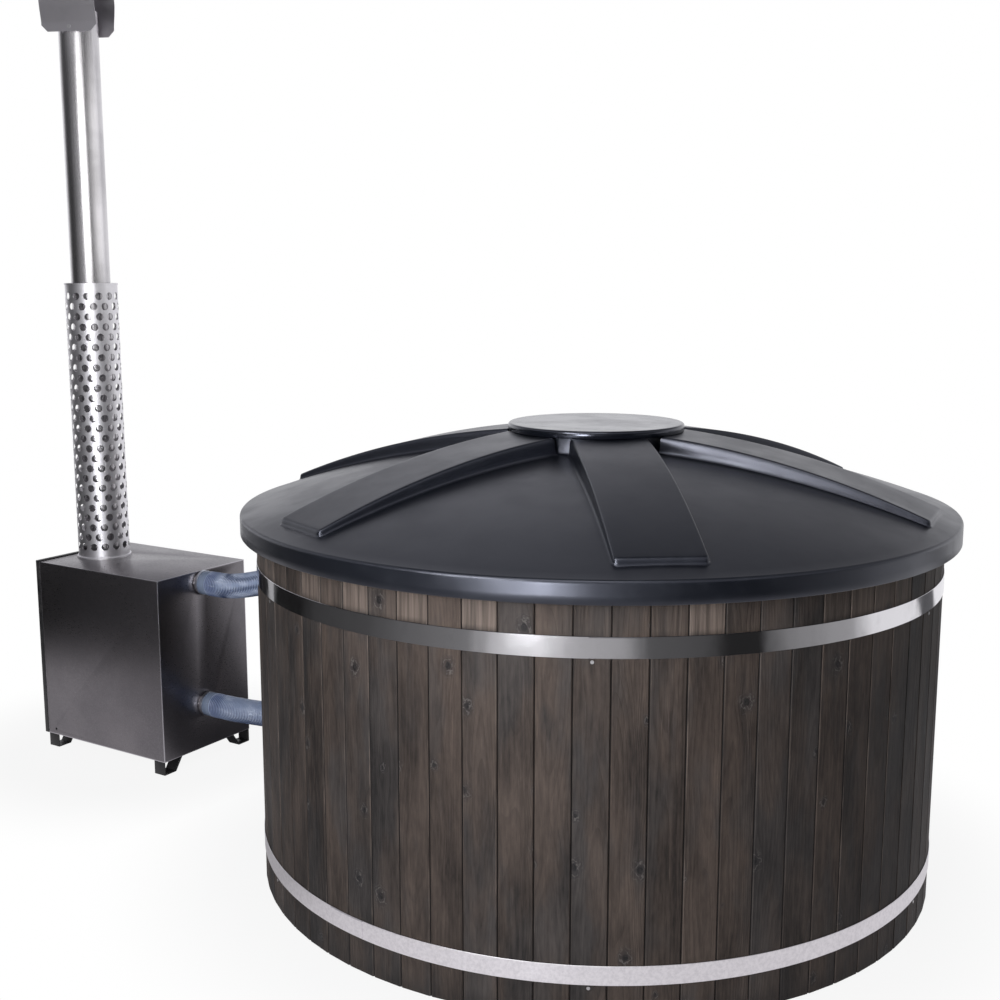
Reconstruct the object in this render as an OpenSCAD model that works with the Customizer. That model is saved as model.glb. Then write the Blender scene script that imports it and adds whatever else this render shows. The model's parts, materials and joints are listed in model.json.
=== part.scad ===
// Round wooden hot tub with a domed lid, an outside wood-burning water heater and its chimney.
// Origin: on the floor, on the tub's upright axis. +Z is up, the heater stands towards -X.

/* [Tub wall] */
// Radius of the wall, over the corners of its staves
tub_r = 900; // [800:10:1000]
// Number of staves round the wall
stave_n = 71; // [66:1:76]
// Thickness of a stave
stave_t = 28; // [24:1:34]
// Gap between the floor and the lower ends of the staves
stave_lift = 5; // [3:1:10]
// Height of the staves' upper ends above the floor
stave_top = 950; // [900:5:1000]
// Chamfer along the outer corners of a stave
stave_chamfer = 3; // [2:0.5:4]
// Gap between two staves
stave_gap = 0.3; // [0.2:0.1:0.6]
// Depth of the groove that holds the floor panel
groove_d = 9; // [6:1:12]

/* [Hoops] */
// Width of the lower steel band
low_hoop_w = 45; // [30:1:60]
// Height of the lower band's lower edge
low_hoop_z = 86.5; // [80:0.5:100]
// Width of the upper steel band
top_hoop_w = 47; // [30:1:60]
// Height of the upper band's lower edge
top_hoop_z = 810; // [780:5:830]
// Thickness of both bands
hoop_t = 1.5; // [1:0.5:2.5]
// Height of the lugs that close a band, out from the band
lug_h = 24; // [20:1:32]
// Direction of the band closures, seen from the tub's axis
lug_angle = 120; // [100:5:140]
// Length of a band's gap between its two lugs
lug_gap = 30; // [24:1:40]
// Number of hanger screws under each band
hoop_screws_n = 6; // [5:1:10]

/* [Floor and liner] */
// Height of the joists
joist_h = 60; // [55:1:70]
// Width of a joist
joist_w = 45; // [38:1:60]
// Distance between the middles of two joists
joist_pitch = 450; // [400:10:480]
// Thickness of the floor panel
floor_t = 28; // [22:1:32]
// Thickness of the moulded liner
liner_t = 6; // [5:0.5:8]
// Gap between the staves and the liner
liner_gap = 19; // [10:1:26]
// Height of the bench above the floor
bench_z = 500; // [460:5:540]
// Inner radius of the foot well
well_r = 585; // [540:5:620]
// Thickness of the liner's rim over the staves
rim_t = 12; // [10:1:16]
// Length of the rim's turned-down lip
lip_h = 20; // [14:1:24]
// Rounding of the rim's upper edges
rim_round = 5; // [3:0.5:6]

/* [Lid] */
// How far the lid's skirt stands out over the wall's corners
skirt_over = 40; // [30:2:60]
// How far the skirt hangs below the staves' upper ends
skirt_drop = 18; // [10:1:24]
// Height of the skirt, from its lower edge to the dome's edge
skirt_h = 53; // [46:1:70]
// Rounding of the skirt's upper edge
ridge_round = 9; // [6:1:12]
// Thickness of the moulded lid shell
shell_t = 5; // [4:0.5:6]
// Rise of the dome from the skirt's upper edge to its middle
dome_rise = 163; // [150:1:175]
// Number of raised ribs
rib_n = 6; // [5:1:8]
// Width of a rib
rib_w = 200; // [160:5:210]
// Distance of a rib's outer end from the skirt's outside
rib_inset = 60; // [50:2:100]
// Height of a rib over the dome at its outer end
rib_step = 13; // [9:1:18]
// Radius of the arc along a rib's top
rib_arc_r = 2300; // [2000:50:2600]
// Direction of the first rib
rib_angle = -52.9; // [-60:0.1:-45]
// Radius of the raised hub under the centre cap
hub_r = 222; // [210:1:228]
// Radius of the centre cap
cap_r = 234; // [230:1:250]
// Thickness of the centre cap
cap_t = 20; // [16:1:24]
// Height of the hub's top above the inner ends of the ribs
hub_step = 1; // [0.5:0.5:4]
// Thickness of the lid's flat inner panel
panel_t = 4; // [3:0.5:6]

/* [Heater] */
// Gap between the tub's wall and the heater
heater_gap = 510; // [440:10:560]
// Sideways offset of the heater's middle from the tub's axis
heater_y = -61; // [-90:1:-40]
// Width of the heater
heater_w = 392; // [385:1:440]
// Depth of the casing without its front plate
casing_d = 554; // [520:2:600]
// Height of the heater's top above the floor
heater_top = 640; // [634:1:680]
// Height of the heater's feet
foot_h = 44; // [40:1:60]
// Thickness of the casing's sheet
sheet_t = 2; // [1.5:0.5:3]
// Depth of the folded front plate
front_d = 17; // [14:1:20]
// How far the front plate stands above the casing's top
front_proud = 3; // [1:0.5:4]
// Side gap between the water jacket and the casing
jacket_gap = 9; // [6:1:16]
// Wall of the water jacket
jacket_t = 3; // [2.5:0.5:4]
// Water space round the firebox
water_gap = 50; // [44:1:54]
// Wall of the firebox
fire_t = 4; // [3:0.5:6]
// Height of the grate above the firebox floor
grate_rise = 100; // [95:1:110]
// Thickness of the grate
grate_t = 8; // [6:1:12]

/* [Firebox door] */
// Width of the firebox door
door_w = 300; // [290:2:310]
// Height of the firebox door
door_h = 350; // [340:2:360]
// Height of the door's lower edge above the floor
door_z = 192; // [190:1:200]
// Thickness of the door
door_t = 4; // [3:0.5:6]
// Radius of the hinge pins
pin_r = 4; // [3:0.5:5]
// Running clearance round a hinge pin, on the radius
pin_clear = 0.05; // [0.02:0.01:0.1]
// Radius of a hinge knuckle
knuckle_r = 7.5; // [7:0.5:9]
// Length of a hinge knuckle
knuckle_l = 30; // [24:1:36]
// Length of the door handle's grip
grip_l = 120; // [90:5:150]
// Number of air slots in the door
air_n = 5; // [4:1:6]
// Width of an air slot
air_w = 11; // [8:1:12]
// Distance between two air slots
air_pitch = 26; // [25:1:28]

/* [Water pipes and hoses] */
// Radius of the pipe stubs and wall pipes
pipe_r = 32.5; // [30:0.5:33]
// Wall of those pipes
pipe_t = 2.5; // [2:0.5:4]
// Height of the upper pipe stub on the heater
hot_z = 600; // [590:1:600]
// Height of the lower pipe stub on the heater
cold_z = 190; // [170:1:230]
// Rise of the upper hose from the heater to the tub
hot_rise = 55; // [20:1:80]
// Rise of the lower hose from the heater to the tub
cold_rise = 15; // [0:1:40]
// Radius over a hose's ribs
hose_r = 40; // [40:0.5:43]
// Depth of a hose's ribs
hose_rib_d = 3; // [2:0.5:3.5]
// Wall of a hose under its ribs
hose_wall = 2.4; // [2:0.1:3]
// Distance between two ribs
hose_pitch = 7; // [6:0.5:9]
// Plain length at each end of a hose
hose_plain = 36; // [30:1:50]
// Width of a hose clamp
clamp_w = 9; // [9:1:16]
// Radius of the flange on the tub's inner and outer pipe fittings
fitting_r = 52; // [46:1:56]
// Thickness of a fitting's flange and of its locknut
fitting_t = 12; // [8:1:14]

/* [Chimney] */
// Radius of the chimney pipe
flue_r = 62.5; // [55:0.5:65]
// Wall of the chimney pipe
flue_t = 1.5; // [1:0.5:2]
// Distance of the chimney's middle from the front plate's face
flue_inset = 112; // [112:1:130]
// Height of the perforated heat shield
shield_h = 920; // [800:10:960]
// Radius of the perforated heat shield
shield_r = 84; // [84:1:92]
// Rows of holes in the heat shield
hole_rows = 26; // [20:1:27]
// Holes in each row, an even number
hole_n = 14; // [12:2:16]
// Diameter of a hole in the heat shield
hole_d = 24; // [16:1:25]
// Plain margin from the shield's ends to the first row's middle
hole_margin = 42; // [38:1:50]
// Height of the chimney pipe's upper end above the floor
flue_top = 2420; // [2200:10:2450]
// Radius of the rain cap's arch
rain_r = 76; // [74:1:90]
// Length of the rain cap
rain_l = 186; // [150:2:240]
// Turn of the rain cap from the heater's direction
rain_turn = 23; // [0:1:45]
// How far the rain cap's flaps reach down beside the pipe
rain_drop = 70; // [50:5:90]

/* [Drain] */
// Direction of the drain's way out, moved to the middle of the nearest stave
drain_dir = 75; // [66:1:78]
// Radius of the drain pipe
drain_r = 16; // [14:0.5:18]
// Height of the drain pipe's middle above the floor
drain_z = 34; // [32:1:36]
// Length of the drain valve's lever
lever_l = 70; // [60:5:90]

/* [Hidden] */
$fn = 96;
seat = 0.3;             // gap where a round or loose part sits on its seat
cut = 1;                // how far a cutting tool passes the face that it cuts
touch = 0.01;           // overlap that joins two forms of one solid

// ---- Tub wall ----
groups = 8;
stave_step = 360 / stave_n;
half_step = stave_step / 2;
hose_angle = 180 + asin(-heater_y / tub_r);     // the hoses pass the wall at a joint of two staves
stave_out = tub_r * cos(half_step);             // flat outer face of a stave
stave_in = stave_out - stave_t;                 // flat inner face of a stave
floor_z = joist_h;
floor_top = floor_z + floor_t;
panel_r = stave_in + groove_d - 1;
wood = "#3b3330";
screw_r = 2;
screw_head_r = 4;
screw_head_t = 2;
screw_l = 16;
screw_drop = 7;                                 // middle of a hanger screw below its band
screw_shift = 4.5;                              // turns the row of screws, counted in staves

function bare_angle(a) = abs(((a % 360) + 540) % 360 - 180);
function stave_angle(k) = hose_angle + (k + 0.5) * stave_step;
function screw_stave(i) = floor((i + 0.5) * stave_n / hoop_screws_n + screw_shift) % stave_n;
function has_screw(k) = len([for (i = [0 : hoop_screws_n - 1]) if (screw_stave(i) == k) i]) > 0;
function half_width(x) = x * tan(half_step) - stave_gap / 2;

module at_pipe(z) translate([0, heater_y, z]) rotate([0, 90, 0]) children();

module stave_blank() {
    shoulder = stave_out - stave_chamfer;
    translate([0, 0, stave_lift])
        linear_extrude(stave_top - stave_lift)
            polygon([
                [stave_in, -half_width(stave_in)],
                [shoulder, -half_width(shoulder)],
                [stave_out, -half_width(stave_out) + stave_chamfer],
                [stave_out, half_width(stave_out) - stave_chamfer],
                [shoulder, half_width(shoulder)],
                [stave_in, half_width(stave_in)],
            ]);
}

module stave(k) {
    a = stave_angle(k);
    near_hose = bare_angle(a - hose_angle) < 1.5 * stave_step;
    near_drain = bare_angle(a - drain_angle) < 1.5 * stave_step;
    difference() {
        rotate([0, 0, a])
            stave_blank();
        rotate([0, 0, a])
            translate([stave_in - cut, -tub_r / 10, floor_z - seat])
                cube([groove_d + cut, tub_r / 5, floor_t + seat]);
        if (has_screw(k))
            for (z = [low_hoop_z, top_hoop_z])
                rotate([0, 0, a])
                    translate([stave_out - screw_l - cut, 0, z - screw_drop])
                        rotate([0, 90, 0])
                            cylinder(r = screw_r + 0.1, h = screw_l + 2 * cut, $fn = 24);
        if (near_hose)
            for (z = [hot_z + hot_rise, cold_z + cold_rise])
                translate([-tub_r - cut, 0, 0])
                    at_pipe(z)
                        cylinder(r = pipe_r + seat, h = stave_t * 2);
        if (near_drain)
            translate([drain_x, 0, drain_z])
                rotate([-90, 0, 0])
                    cylinder(r = drain_r + seat, h = tub_r * 1.1);
    }
}

module wall_staves(g) {
    color(wood)
        for (k = [floor(g * stave_n / groups) : floor((g + 1) * stave_n / groups) - 1])
            stave(k);
}

// ---- Hoops ----
hoop_in = tub_r + 0.1;
hoop_out = hoop_in + hoop_t;
lug_t = 3;
lug_w = 36;
bolt_r = 4;
nut_h = 6;
nut_r = 7.5;

module at_lugs(z) rotate([0, 0, lug_angle]) translate([0, 0, z]) children();

module hoop(z, w) {
    color("#c9cad0")
        difference() {
            union() {
                difference() {
                    translate([0, 0, z])
                        cylinder(r = hoop_out, h = w, $fn = 180);
                    translate([0, 0, z - cut])
                        cylinder(r = hoop_in, h = w + 2 * cut, $fn = 180);
                    at_lugs(z - cut)
                        translate([0, -lug_gap / 2, 0])
                            cube([tub_r * 1.2, lug_gap, w + 2 * cut]);
                }
                at_lugs(z + (w - lug_w) / 2)
                    for (s = [-1, 1])
                        translate([hoop_in + 0.3, s > 0 ? lug_gap / 2 - touch : -lug_gap / 2 - lug_t, 0])
                            cube([hoop_t + lug_h, lug_t + touch, lug_w]);
            }
            at_lugs(z + w / 2)
                translate([hoop_out + lug_h / 2, -lug_gap, 0])
                    rotate([-90, 0, 0])
                        cylinder(r = bolt_r + 0.2, h = 2 * lug_gap, $fn = 32);
        }
}

module hoop_bolts() {
    reach = lug_gap / 2 + lug_t;
    color("#8d8f94")
        for (z = [low_hoop_z + low_hoop_w / 2, top_hoop_z + top_hoop_w / 2])
            at_lugs(z)
                translate([hoop_out + lug_h / 2, 0, 0])
                    rotate([-90, 0, 0]) {
                        translate([0, 0, -reach - nut_h])
                            cylinder(r = nut_r, h = nut_h, $fn = 6);
                        translate([0, 0, -reach - touch])
                            cylinder(r = bolt_r, h = 2 * reach + nut_h + 6, $fn = 32);
                        difference() {
                            translate([0, 0, reach])
                                cylinder(r = nut_r, h = nut_h, $fn = 6);
                            translate([0, 0, reach - cut])
                                cylinder(r = bolt_r + 0.05, h = nut_h + 2 * cut, $fn = 32);
                        }
                    }
}

module hoop_screws() {
    color("#c9cad0")
        for (i = [0 : hoop_screws_n - 1], z = [low_hoop_z, top_hoop_z])
            rotate([0, 0, stave_angle(screw_stave(i))])
                translate([stave_out, 0, z - screw_drop])
                    rotate([0, 90, 0]) {
                        cylinder(r = screw_head_r, h = screw_head_t, $fn = 32);
                        translate([0, 0, 1 - screw_l])
                            cylinder(r = screw_r, h = screw_l - 1 + touch, $fn = 24);
                    }
}

// ---- Floor and liner ----
liner_out = stave_in - liner_gap;
liner_in = liner_out - liner_t;
well_out = well_r + liner_t;
rim_top = stave_top + rim_t;
lip_in = tub_r + 5;
lip_out = lip_in + 6;
liner_color = "#dfe6ea";
drain_tail_r = drain_r;
drain_flange_r = 34;
drain_flange_t = 4;
drain_stave = round((drain_dir + 360 - hose_angle) / stave_step - 0.5);
drain_angle = stave_angle(drain_stave) - 360;
drain_x = stave_out * cos(drain_angle);         // the drain pipe runs along Y, between two joists

function arc(x, y, r, from, to, n) =
    [for (i = [0 : n]) let (a = from + (to - from) * i / n) [x + r * cos(a), y + r * sin(a)]];

module ring(outer, inner, h) {
    difference() {
        cylinder(r = outer, h = h, $fn = 180);
        translate([0, 0, -cut])
            cylinder(r = inner, h = h + 2 * cut, $fn = 180);
    }
}

module base_joists() {
    color("#a98b63")
        for (x = [-joist_pitch, 0, joist_pitch]) {
            half = sqrt(pow(stave_in - 4, 2) - pow(abs(x) + joist_w / 2, 2));
            translate([x - joist_w / 2, -half, 0])
                cube([joist_w, 2 * half, joist_h]);
        }
}

module floor_panel() {
    color("#b3936a")
        difference() {
            translate([0, 0, floor_z])
                cylinder(r = panel_r, h = floor_t, $fn = 180);
            translate([drain_x, 0, floor_z - cut])
                cylinder(r = drain_tail_r + 1, h = floor_t + 2 * cut);
        }
}

module liner_floor() {
    color(liner_color)
        difference() {
            translate([0, 0, floor_top])
                cylinder(r = well_out, h = liner_t, $fn = 180);
            translate([drain_x, 0, floor_top - cut])
                cylinder(r = drain_tail_r + 1, h = liner_t + 2 * cut);
        }
}

module liner_well() {
    low = floor_top + liner_t;
    color(liner_color)
        difference() {
            translate([0, 0, low])
                ring(well_out, well_r, bench_z - liner_t - low);
            translate([-well_out - cut, 0, 0])
                at_pipe(cold_z + cold_rise)
                    cylinder(r = pipe_r + seat, h = liner_t * 5);
        }
}

module liner_bench() {
    low = bench_z - liner_t;
    color(liner_color)
        rotate_extrude($fn = 180)
            polygon(concat(
                [[liner_out, low], [liner_out, bench_z]],
                arc(well_out, low, liner_t, 90, 180, 4)
            ));
}

module liner_wall() {
    color(liner_color)
        difference() {
            translate([0, 0, bench_z])
                ring(liner_out, liner_in, stave_top - bench_z);
            translate([-liner_out - cut, 0, 0])
                at_pipe(hot_z + hot_rise)
                    cylinder(r = pipe_r + seat, h = liner_t * 5);
        }
}

module liner_rim() {
    lip_z = rim_top - lip_h - rim_t;
    color(liner_color)
        rotate_extrude($fn = 180)
            polygon(concat(
                [[liner_in, stave_top], [lip_in, stave_top], [lip_in, lip_z], [lip_out, lip_z]],
                arc(lip_out - rim_round, rim_top - rim_round, rim_round, 0, 90, 5),
                arc(liner_in + rim_round, rim_top - rim_round, rim_round, 90, 180, 5)
            ));
}

// ---- Lid ----
skirt_r = tub_r + skirt_over;
skirt_z = stave_top - skirt_drop;
ridge_z = skirt_z + skirt_h;
ridge_r = skirt_r - ridge_round;                // where the dome meets the skirt's rounded edge
dome_arc_r = (pow(ridge_r, 2) + pow(dome_rise, 2)) / (2 * dome_rise);
dome_mid = ridge_z + dome_rise;                 // height of the dome's middle
rib_end = skirt_r - rib_inset;
skirt_in = skirt_r - shell_t;
shell_r = ridge_r - 2;                          // where the skirt takes over from the dome
rib_mid = dome_z(rib_end) + rib_step + rib_arc_r - sqrt(pow(rib_arc_r, 2) - pow(rib_end, 2));
hub_top = rib_z(hub_r) + hub_step;
core_gap = 0.3;

function dome_z(r) = dome_mid - dome_arc_r + sqrt(pow(dome_arc_r, 2) - pow(r, 2));
function rib_z(s) = rib_mid - rib_arc_r + sqrt(pow(rib_arc_r, 2) - pow(s, 2));
function dome_line(r0, r1, n, drop) =
    [for (i = [0 : n]) let (r = r0 + (r1 - r0) * i / n) [r, dome_z(r) - drop]];

module rib_solid(w, from, to, drop_top, drop_low) {
    steps = 10;
    translate([0, w / 2, 0])
        rotate([90, 0, 0])
            linear_extrude(w)
                polygon(concat(
                    [for (i = [0 : steps]) let (s = from + (to - from) * i / steps)
                        [s, min(rib_z(s) - drop_top, hub_top - drop_top)]],
                    dome_line(to, from, steps, drop_low)
                ));
}

module lid_shell() {
    color("#23252a")
        difference() {
            union() {
                rotate_extrude($fn = 180)
                    polygon(concat(
                        [[0, dome_mid - shell_t - 10], [shell_r, dome_z(shell_r) - shell_t - 10]],
                        dome_line(shell_r, hub_r, 12, 0),
                        [[hub_r, hub_top], [0, hub_top]]
                    ));
                for (i = [0 : rib_n - 1])
                    rotate([0, 0, rib_angle + i * 360 / rib_n])
                        rib_solid(rib_w, hub_r - 20, rib_end, 0, shell_t);
            }
            rotate_extrude($fn = 180)
                polygon(concat(
                    [[0, skirt_z - cut], [skirt_r, skirt_z - cut], [skirt_r, dome_z(skirt_r) - shell_t]],
                    dome_line(shell_r, 0, 14, shell_t)
                ));
            for (i = [0 : rib_n - 1])
                rotate([0, 0, rib_angle + i * 360 / rib_n])
                    rib_solid(rib_w - 2 * shell_t, hub_r - 2 * shell_t, rib_end - shell_t,
                        shell_t, 2 * shell_t);
        }
}

module lid_skirt() {
    color("#23252a")
        rotate_extrude($fn = 180)
            polygon(concat(
                [[skirt_in, skirt_z], [skirt_r, skirt_z]],
                arc(ridge_r, ridge_z - ridge_round, ridge_round, 0, 90, 5),
                [[shell_r, dome_z(shell_r)], [shell_r, dome_z(shell_r) - shell_t],
                 [skirt_in, ridge_z - ridge_round - shell_t]]
            ));
}

module lid_cap() {
    edge = 6;
    color("#2b2d32")
        rotate_extrude($fn = 120)
            polygon(concat(
                [[0, hub_top], [cap_r - 2, hub_top], [cap_r, hub_top + 2]],
                arc(cap_r - edge, hub_top + cap_t - edge, edge, 0, 90, 5),
                [[0, hub_top + cap_t]]
            ));
}

module lid_core() {
    low = rim_top + panel_t;
    edge = skirt_in - 12;
    drop = shell_t + core_gap;
    color("#e8e4d8")
        union() {
            rotate_extrude($fn = 180)
                polygon(concat(
                    [[0, low], [edge, low], [edge, dome_z(edge) - shell_t - 3]],
                    dome_line(edge - 18, 0, 12, drop)
                ));
            for (i = [0 : rib_n - 1])
                rotate([0, 0, rib_angle + i * 360 / rib_n])
                    rib_solid(rib_w - 2 * drop, hub_r - 2 * shell_t + core_gap, rib_end - drop,
                        drop, drop + 30);
        }
}

module lid_panel() {
    color("#23252a")
        translate([0, 0, rim_top])
            cylinder(r = skirt_in - seat, h = panel_t, $fn = 180);
}

// ---- Heater ----
back_x = -(tub_r + heater_gap);                 // the casing's face towards the tub
casing_x = back_x - casing_d;                   // the casing's open front
front_x = casing_x - front_d;                   // the front plate's face
low_y = heater_y - heater_w / 2;
high_y = heater_y + heater_w / 2;
steel = "#5d5a60";
black = "#1c1c1e";

flange_t = 4;
jacket_w = heater_w - 2 * sheet_t - 2 * jacket_gap;
jacket_z = foot_h + sheet_t;
jacket_top = heater_top - sheet_t - 2;
jacket_front = casing_x + flange_t;
jacket_back = back_x - sheet_t - 15;
fire_w = jacket_w - 2 * water_gap - 2 * jacket_t;        // outer width of the firebox
fire_z = jacket_z + 18;                         // underside of the firebox
fire_floor = fire_z + fire_t;
fire_top = jacket_top - 60;
fire_back = jacket_back - jacket_t - water_gap;
flue_x = front_x + flue_inset;
neck_r = flue_r - flue_t - seat;
neck_t = 3;
mouth_w = fire_w - 2 * fire_t;                  // inner width of the firebox
grate_z = fire_floor + grate_rise;
rail = 8;

module box(x0, x1, w, z0, z1) translate([x0, heater_y - w / 2, z0]) cube([x1 - x0, w, z1 - z0]);

module heater_casing() {
    color(steel)
        difference() {
            box(casing_x, back_x, heater_w, foot_h, heater_top);
            box(casing_x - cut, back_x - sheet_t, heater_w - 2 * sheet_t,
                foot_h + sheet_t, heater_top - sheet_t);
            for (z = [hot_z, cold_z])
                translate([back_x - sheet_t - cut, 0, 0])
                    at_pipe(z)
                        cylinder(r = pipe_r + seat, h = sheet_t + 2 * cut);
            translate([flue_x, heater_y, heater_top - sheet_t - cut])
                cylinder(r = neck_r + seat, h = sheet_t + 2 * cut);
            translate([front_x + 55, low_y - cut, foot_h + 19])
                rotate([-90, 0, 0])
                    cylinder(r = 4, h = sheet_t + 2 * cut, $fn = 32);
        }
}

door_open_w = mouth_w;
ash_z0 = fire_floor;
ash_z1 = grate_z - 14;
door_open_z0 = grate_z + grate_t + 4;
door_open_z1 = door_z + door_h - 16;

module front_plate() {
    skin = 3;
    color(black)
        difference() {
            union() {
                difference() {
                    box(front_x, casing_x, heater_w + 2, foot_h, heater_top + front_proud);
                    box(front_x + skin, casing_x + cut, heater_w + 2 - 2 * skin, foot_h + skin,
                        heater_top + front_proud - skin);
                }
                for (z = hinge_z)
                    translate([hinge_x, hinge_y, z])
                        frame_knuckle();
            }
            box(front_x - cut, front_x + skin + cut, door_open_w, door_open_z0, door_open_z1);
            box(front_x - cut, front_x + skin + cut, mouth_w, ash_z0, ash_z1);
            for (z = hinge_z)
                translate([hinge_x, hinge_y, z - cut])
                    cylinder(r = pin_r + 0.02, h = knuckle_l + 2 * cut, $fn = 48);
        }
}

module water_jacket() {
    color("#77787c")
        difference() {
            box(jacket_front, jacket_back, jacket_w, jacket_z, jacket_top);
            box(jacket_front - cut, jacket_back - jacket_t, jacket_w - 2 * jacket_t,
                jacket_z + jacket_t, jacket_top - jacket_t);
            for (z = [hot_z, cold_z])
                translate([jacket_back - jacket_t - cut, 0, 0])
                    at_pipe(z)
                        cylinder(r = pipe_r + seat, h = jacket_t + 2 * cut);
            translate([flue_x, heater_y, jacket_top - jacket_t - cut])
                cylinder(r = neck_r + seat, h = jacket_t + 2 * cut);
        }
}

module firebox() {
    color("#4a4a4d")
        difference() {
            union() {
                box(casing_x, jacket_front, jacket_w, jacket_z, jacket_top);
                box(casing_x, fire_back, fire_w, fire_z, fire_top);
            }
            box(casing_x - cut, fire_back - fire_t, mouth_w, fire_floor, grate_z - rail);
            box(casing_x - cut, fire_back - fire_t, mouth_w - 2 * rail, fire_floor, grate_z + cut);
            box(casing_x - cut, fire_back - fire_t, mouth_w, grate_z, fire_top - fire_t);
            translate([flue_x, heater_y, fire_top - fire_t - cut])
                cylinder(r = neck_r - neck_t, h = fire_t + 2 * cut);
        }
}

module flue_neck() {
    color("#4a4a4d")
        at_flue(fire_top)
            tube(neck_r, neck_t, heater_top + 60 - fire_top);
}

module fire_grate() {
    bar = 12;
    slots = floor((mouth_w - 40) / (2 * bar));
    slot_x0 = casing_x + 40;
    slot_l = fire_back - fire_t - 40 - slot_x0;
    color("#38383a")
        difference() {
            box(casing_x + 6, fire_back - fire_t - 2, mouth_w - 4, grate_z, grate_z + grate_t);
            for (i = [0 : slots - 1])
                translate([slot_x0, heater_y + (i - (slots - 1) / 2) * 2 * bar - bar / 2, grate_z - cut])
                    cube([slot_l, bar, grate_t + 2 * cut]);
        }
}

module heater_feet() {
    foot_w = 46;
    low_w = 50;
    slope = 30;
    wall = 4;
    color(black)
        for (sx = [0, 1], sy = [0, 1])
            translate([sx == 0 ? back_x - foot_w - 2 : casing_x + 2, sy == 0 ? low_y : high_y, 0])
                mirror([0, sy, 0])
                    rotate([90, 0, 90])
                        linear_extrude(foot_w)
                            polygon([
                                [0, 0], [low_w, 0], [low_w + slope, foot_h],
                                [low_w + slope - wall - 1, foot_h],
                                [low_w - wall + 1, wall], [wall, wall], [wall, foot_h], [0, foot_h],
                            ]);
}

// ---- Firebox door ----
door_x = front_x - door_t;                      // the door's outer face
hinge_x = door_x - knuckle_r + 1.5;
hinge_y = heater_y + door_w / 2 + 10;
hinge_z = [door_z + 40, door_z + door_h - 40 - 2 * knuckle_l];
shutter_t = 3;
shutter_h = 36;
shutter_w = (air_n - 1) * air_pitch + air_w + 22;
shutter_z = door_z + 34;
shutter_gap = 0.3;
air_h = 22;

module frame_knuckle() {
    cylinder(r = knuckle_r, h = knuckle_l, $fn = 48);
    translate([0, -knuckle_r, 0])
        cube([front_x - hinge_x + touch, 2 * knuckle_r, knuckle_l]);
}

module air_slots(x0, x1) {
    for (i = [0 : air_n - 1])
        translate([x0, heater_y + (i - (air_n - 1) / 2) * air_pitch - air_w / 2, shutter_z - air_h / 2])
            cube([x1 - x0, air_w, air_h]);
}

module firebox_door() {
    leaf_t = 2.5;
    leaf_w = 40;
    lip_w = 10;
    rail_len = shutter_w + air_pitch / 2 + 8;
    color(black)
        difference() {
            union() {
                translate([door_x, heater_y - door_w / 2, door_z])
                    cube([door_t, door_w, door_h]);
                for (z = hinge_z)
                    translate([hinge_x, hinge_y, z + knuckle_l]) {
                        cylinder(r = knuckle_r, h = knuckle_l, $fn = 48);
                        translate([door_x - hinge_x - leaf_t, -leaf_w - 10, 0])
                            cube([leaf_t + touch, leaf_w + 10, knuckle_l]);
                    }
                for (s = [-1, 1])
                    translate([door_x - shutter_t - 2, heater_y - rail_len / 2 - air_pitch / 4 + 2,
                               shutter_z + s * (shutter_h / 2 + shutter_gap + 2.5) - 2.5])
                        difference() {
                            cube([shutter_t + 2 + touch, rail_len, 5]);
                        }
                for (s = [-1, 1])
                    translate([door_x - shutter_t - 2, heater_y - rail_len / 2 - air_pitch / 4 + 2,
                               shutter_z + s * (shutter_h / 2 - 1) - (s > 0 ? 2 : 2)])
                        cube([2 - shutter_gap, rail_len, lip_w - 6]);
            }
            for (z = hinge_z)
                translate([hinge_x, hinge_y, z + knuckle_l - cut])
                    cylinder(r = pin_r + pin_clear, h = knuckle_l + 2 * cut, $fn = 48);
            air_slots(door_x - cut, front_x + cut);
        }
}

module air_shutter() {
    shift = -air_pitch / 2;
    knob_r = 6;
    color("#8d8f94")
        difference() {
            union() {
                translate([door_x - shutter_t, heater_y - shutter_w / 2 + shift / 2,
                        shutter_z - shutter_h / 2])
                    cube([shutter_t - 0.05, shutter_w, shutter_h]);
                translate([door_x - shutter_t + touch, heater_y + shutter_w / 2 + shift / 2 - 10, shutter_z])
                    rotate([0, -90, 0])
                        cylinder(r = knob_r, h = 14, $fn = 32);
            }
            translate([0, shift, 0])
                air_slots(door_x - shutter_t - cut, door_x + cut);
        }
}

module door_handle() {
    grip_r = 11;
    stand = 42;
    grip_z = door_z + door_h / 2;
    grip_y = heater_y - door_w / 2 + 32;
    color("#9c9ca1")
        translate([door_x, grip_y, grip_z]) {
            rotate([0, -90, 0])
                cylinder(r = 16, h = 3, $fn = 48);
            rotate([0, -90, 0])
                cylinder(r = 5, h = stand, $fn = 32);
            translate([-stand, 0, -grip_l / 2])
                rotate_extrude($fn = 48)
                    polygon(concat(
                        [[0, 0]],
                        arc(grip_r - 3, 3, 3, -90, 0, 3),
                        arc(grip_r - 3, grip_l - 3, 3, 0, 90, 3),
                        [[0, grip_l]]
                    ));
        }
}

module door_baffle() {
    inset = 14;
    post_r = 5;
    plate_t = 3;
    stand = 6;
    low = shutter_z + shutter_h / 2 + 4;
    plate_w = door_open_w - 2 * inset;
    color("#38383a") {
        box(front_x + stand, front_x + stand + plate_t, plate_w, low, door_open_z1 - inset);
        for (sy = [-1, 1], z = [low + 30, door_open_z1 - inset - 30])
            translate([front_x, heater_y + sy * (plate_w / 2 - 20), z])
                rotate([0, 90, 0])
                    cylinder(r = post_r, h = stand + touch, $fn = 32);
    }
}

module hinge_pins() {
    color("#8d8f94")
        for (z = hinge_z)
            translate([hinge_x, hinge_y, z])
                cylinder(r = pin_r, h = 2 * knuckle_l + 2, $fn = 48);
}

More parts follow.
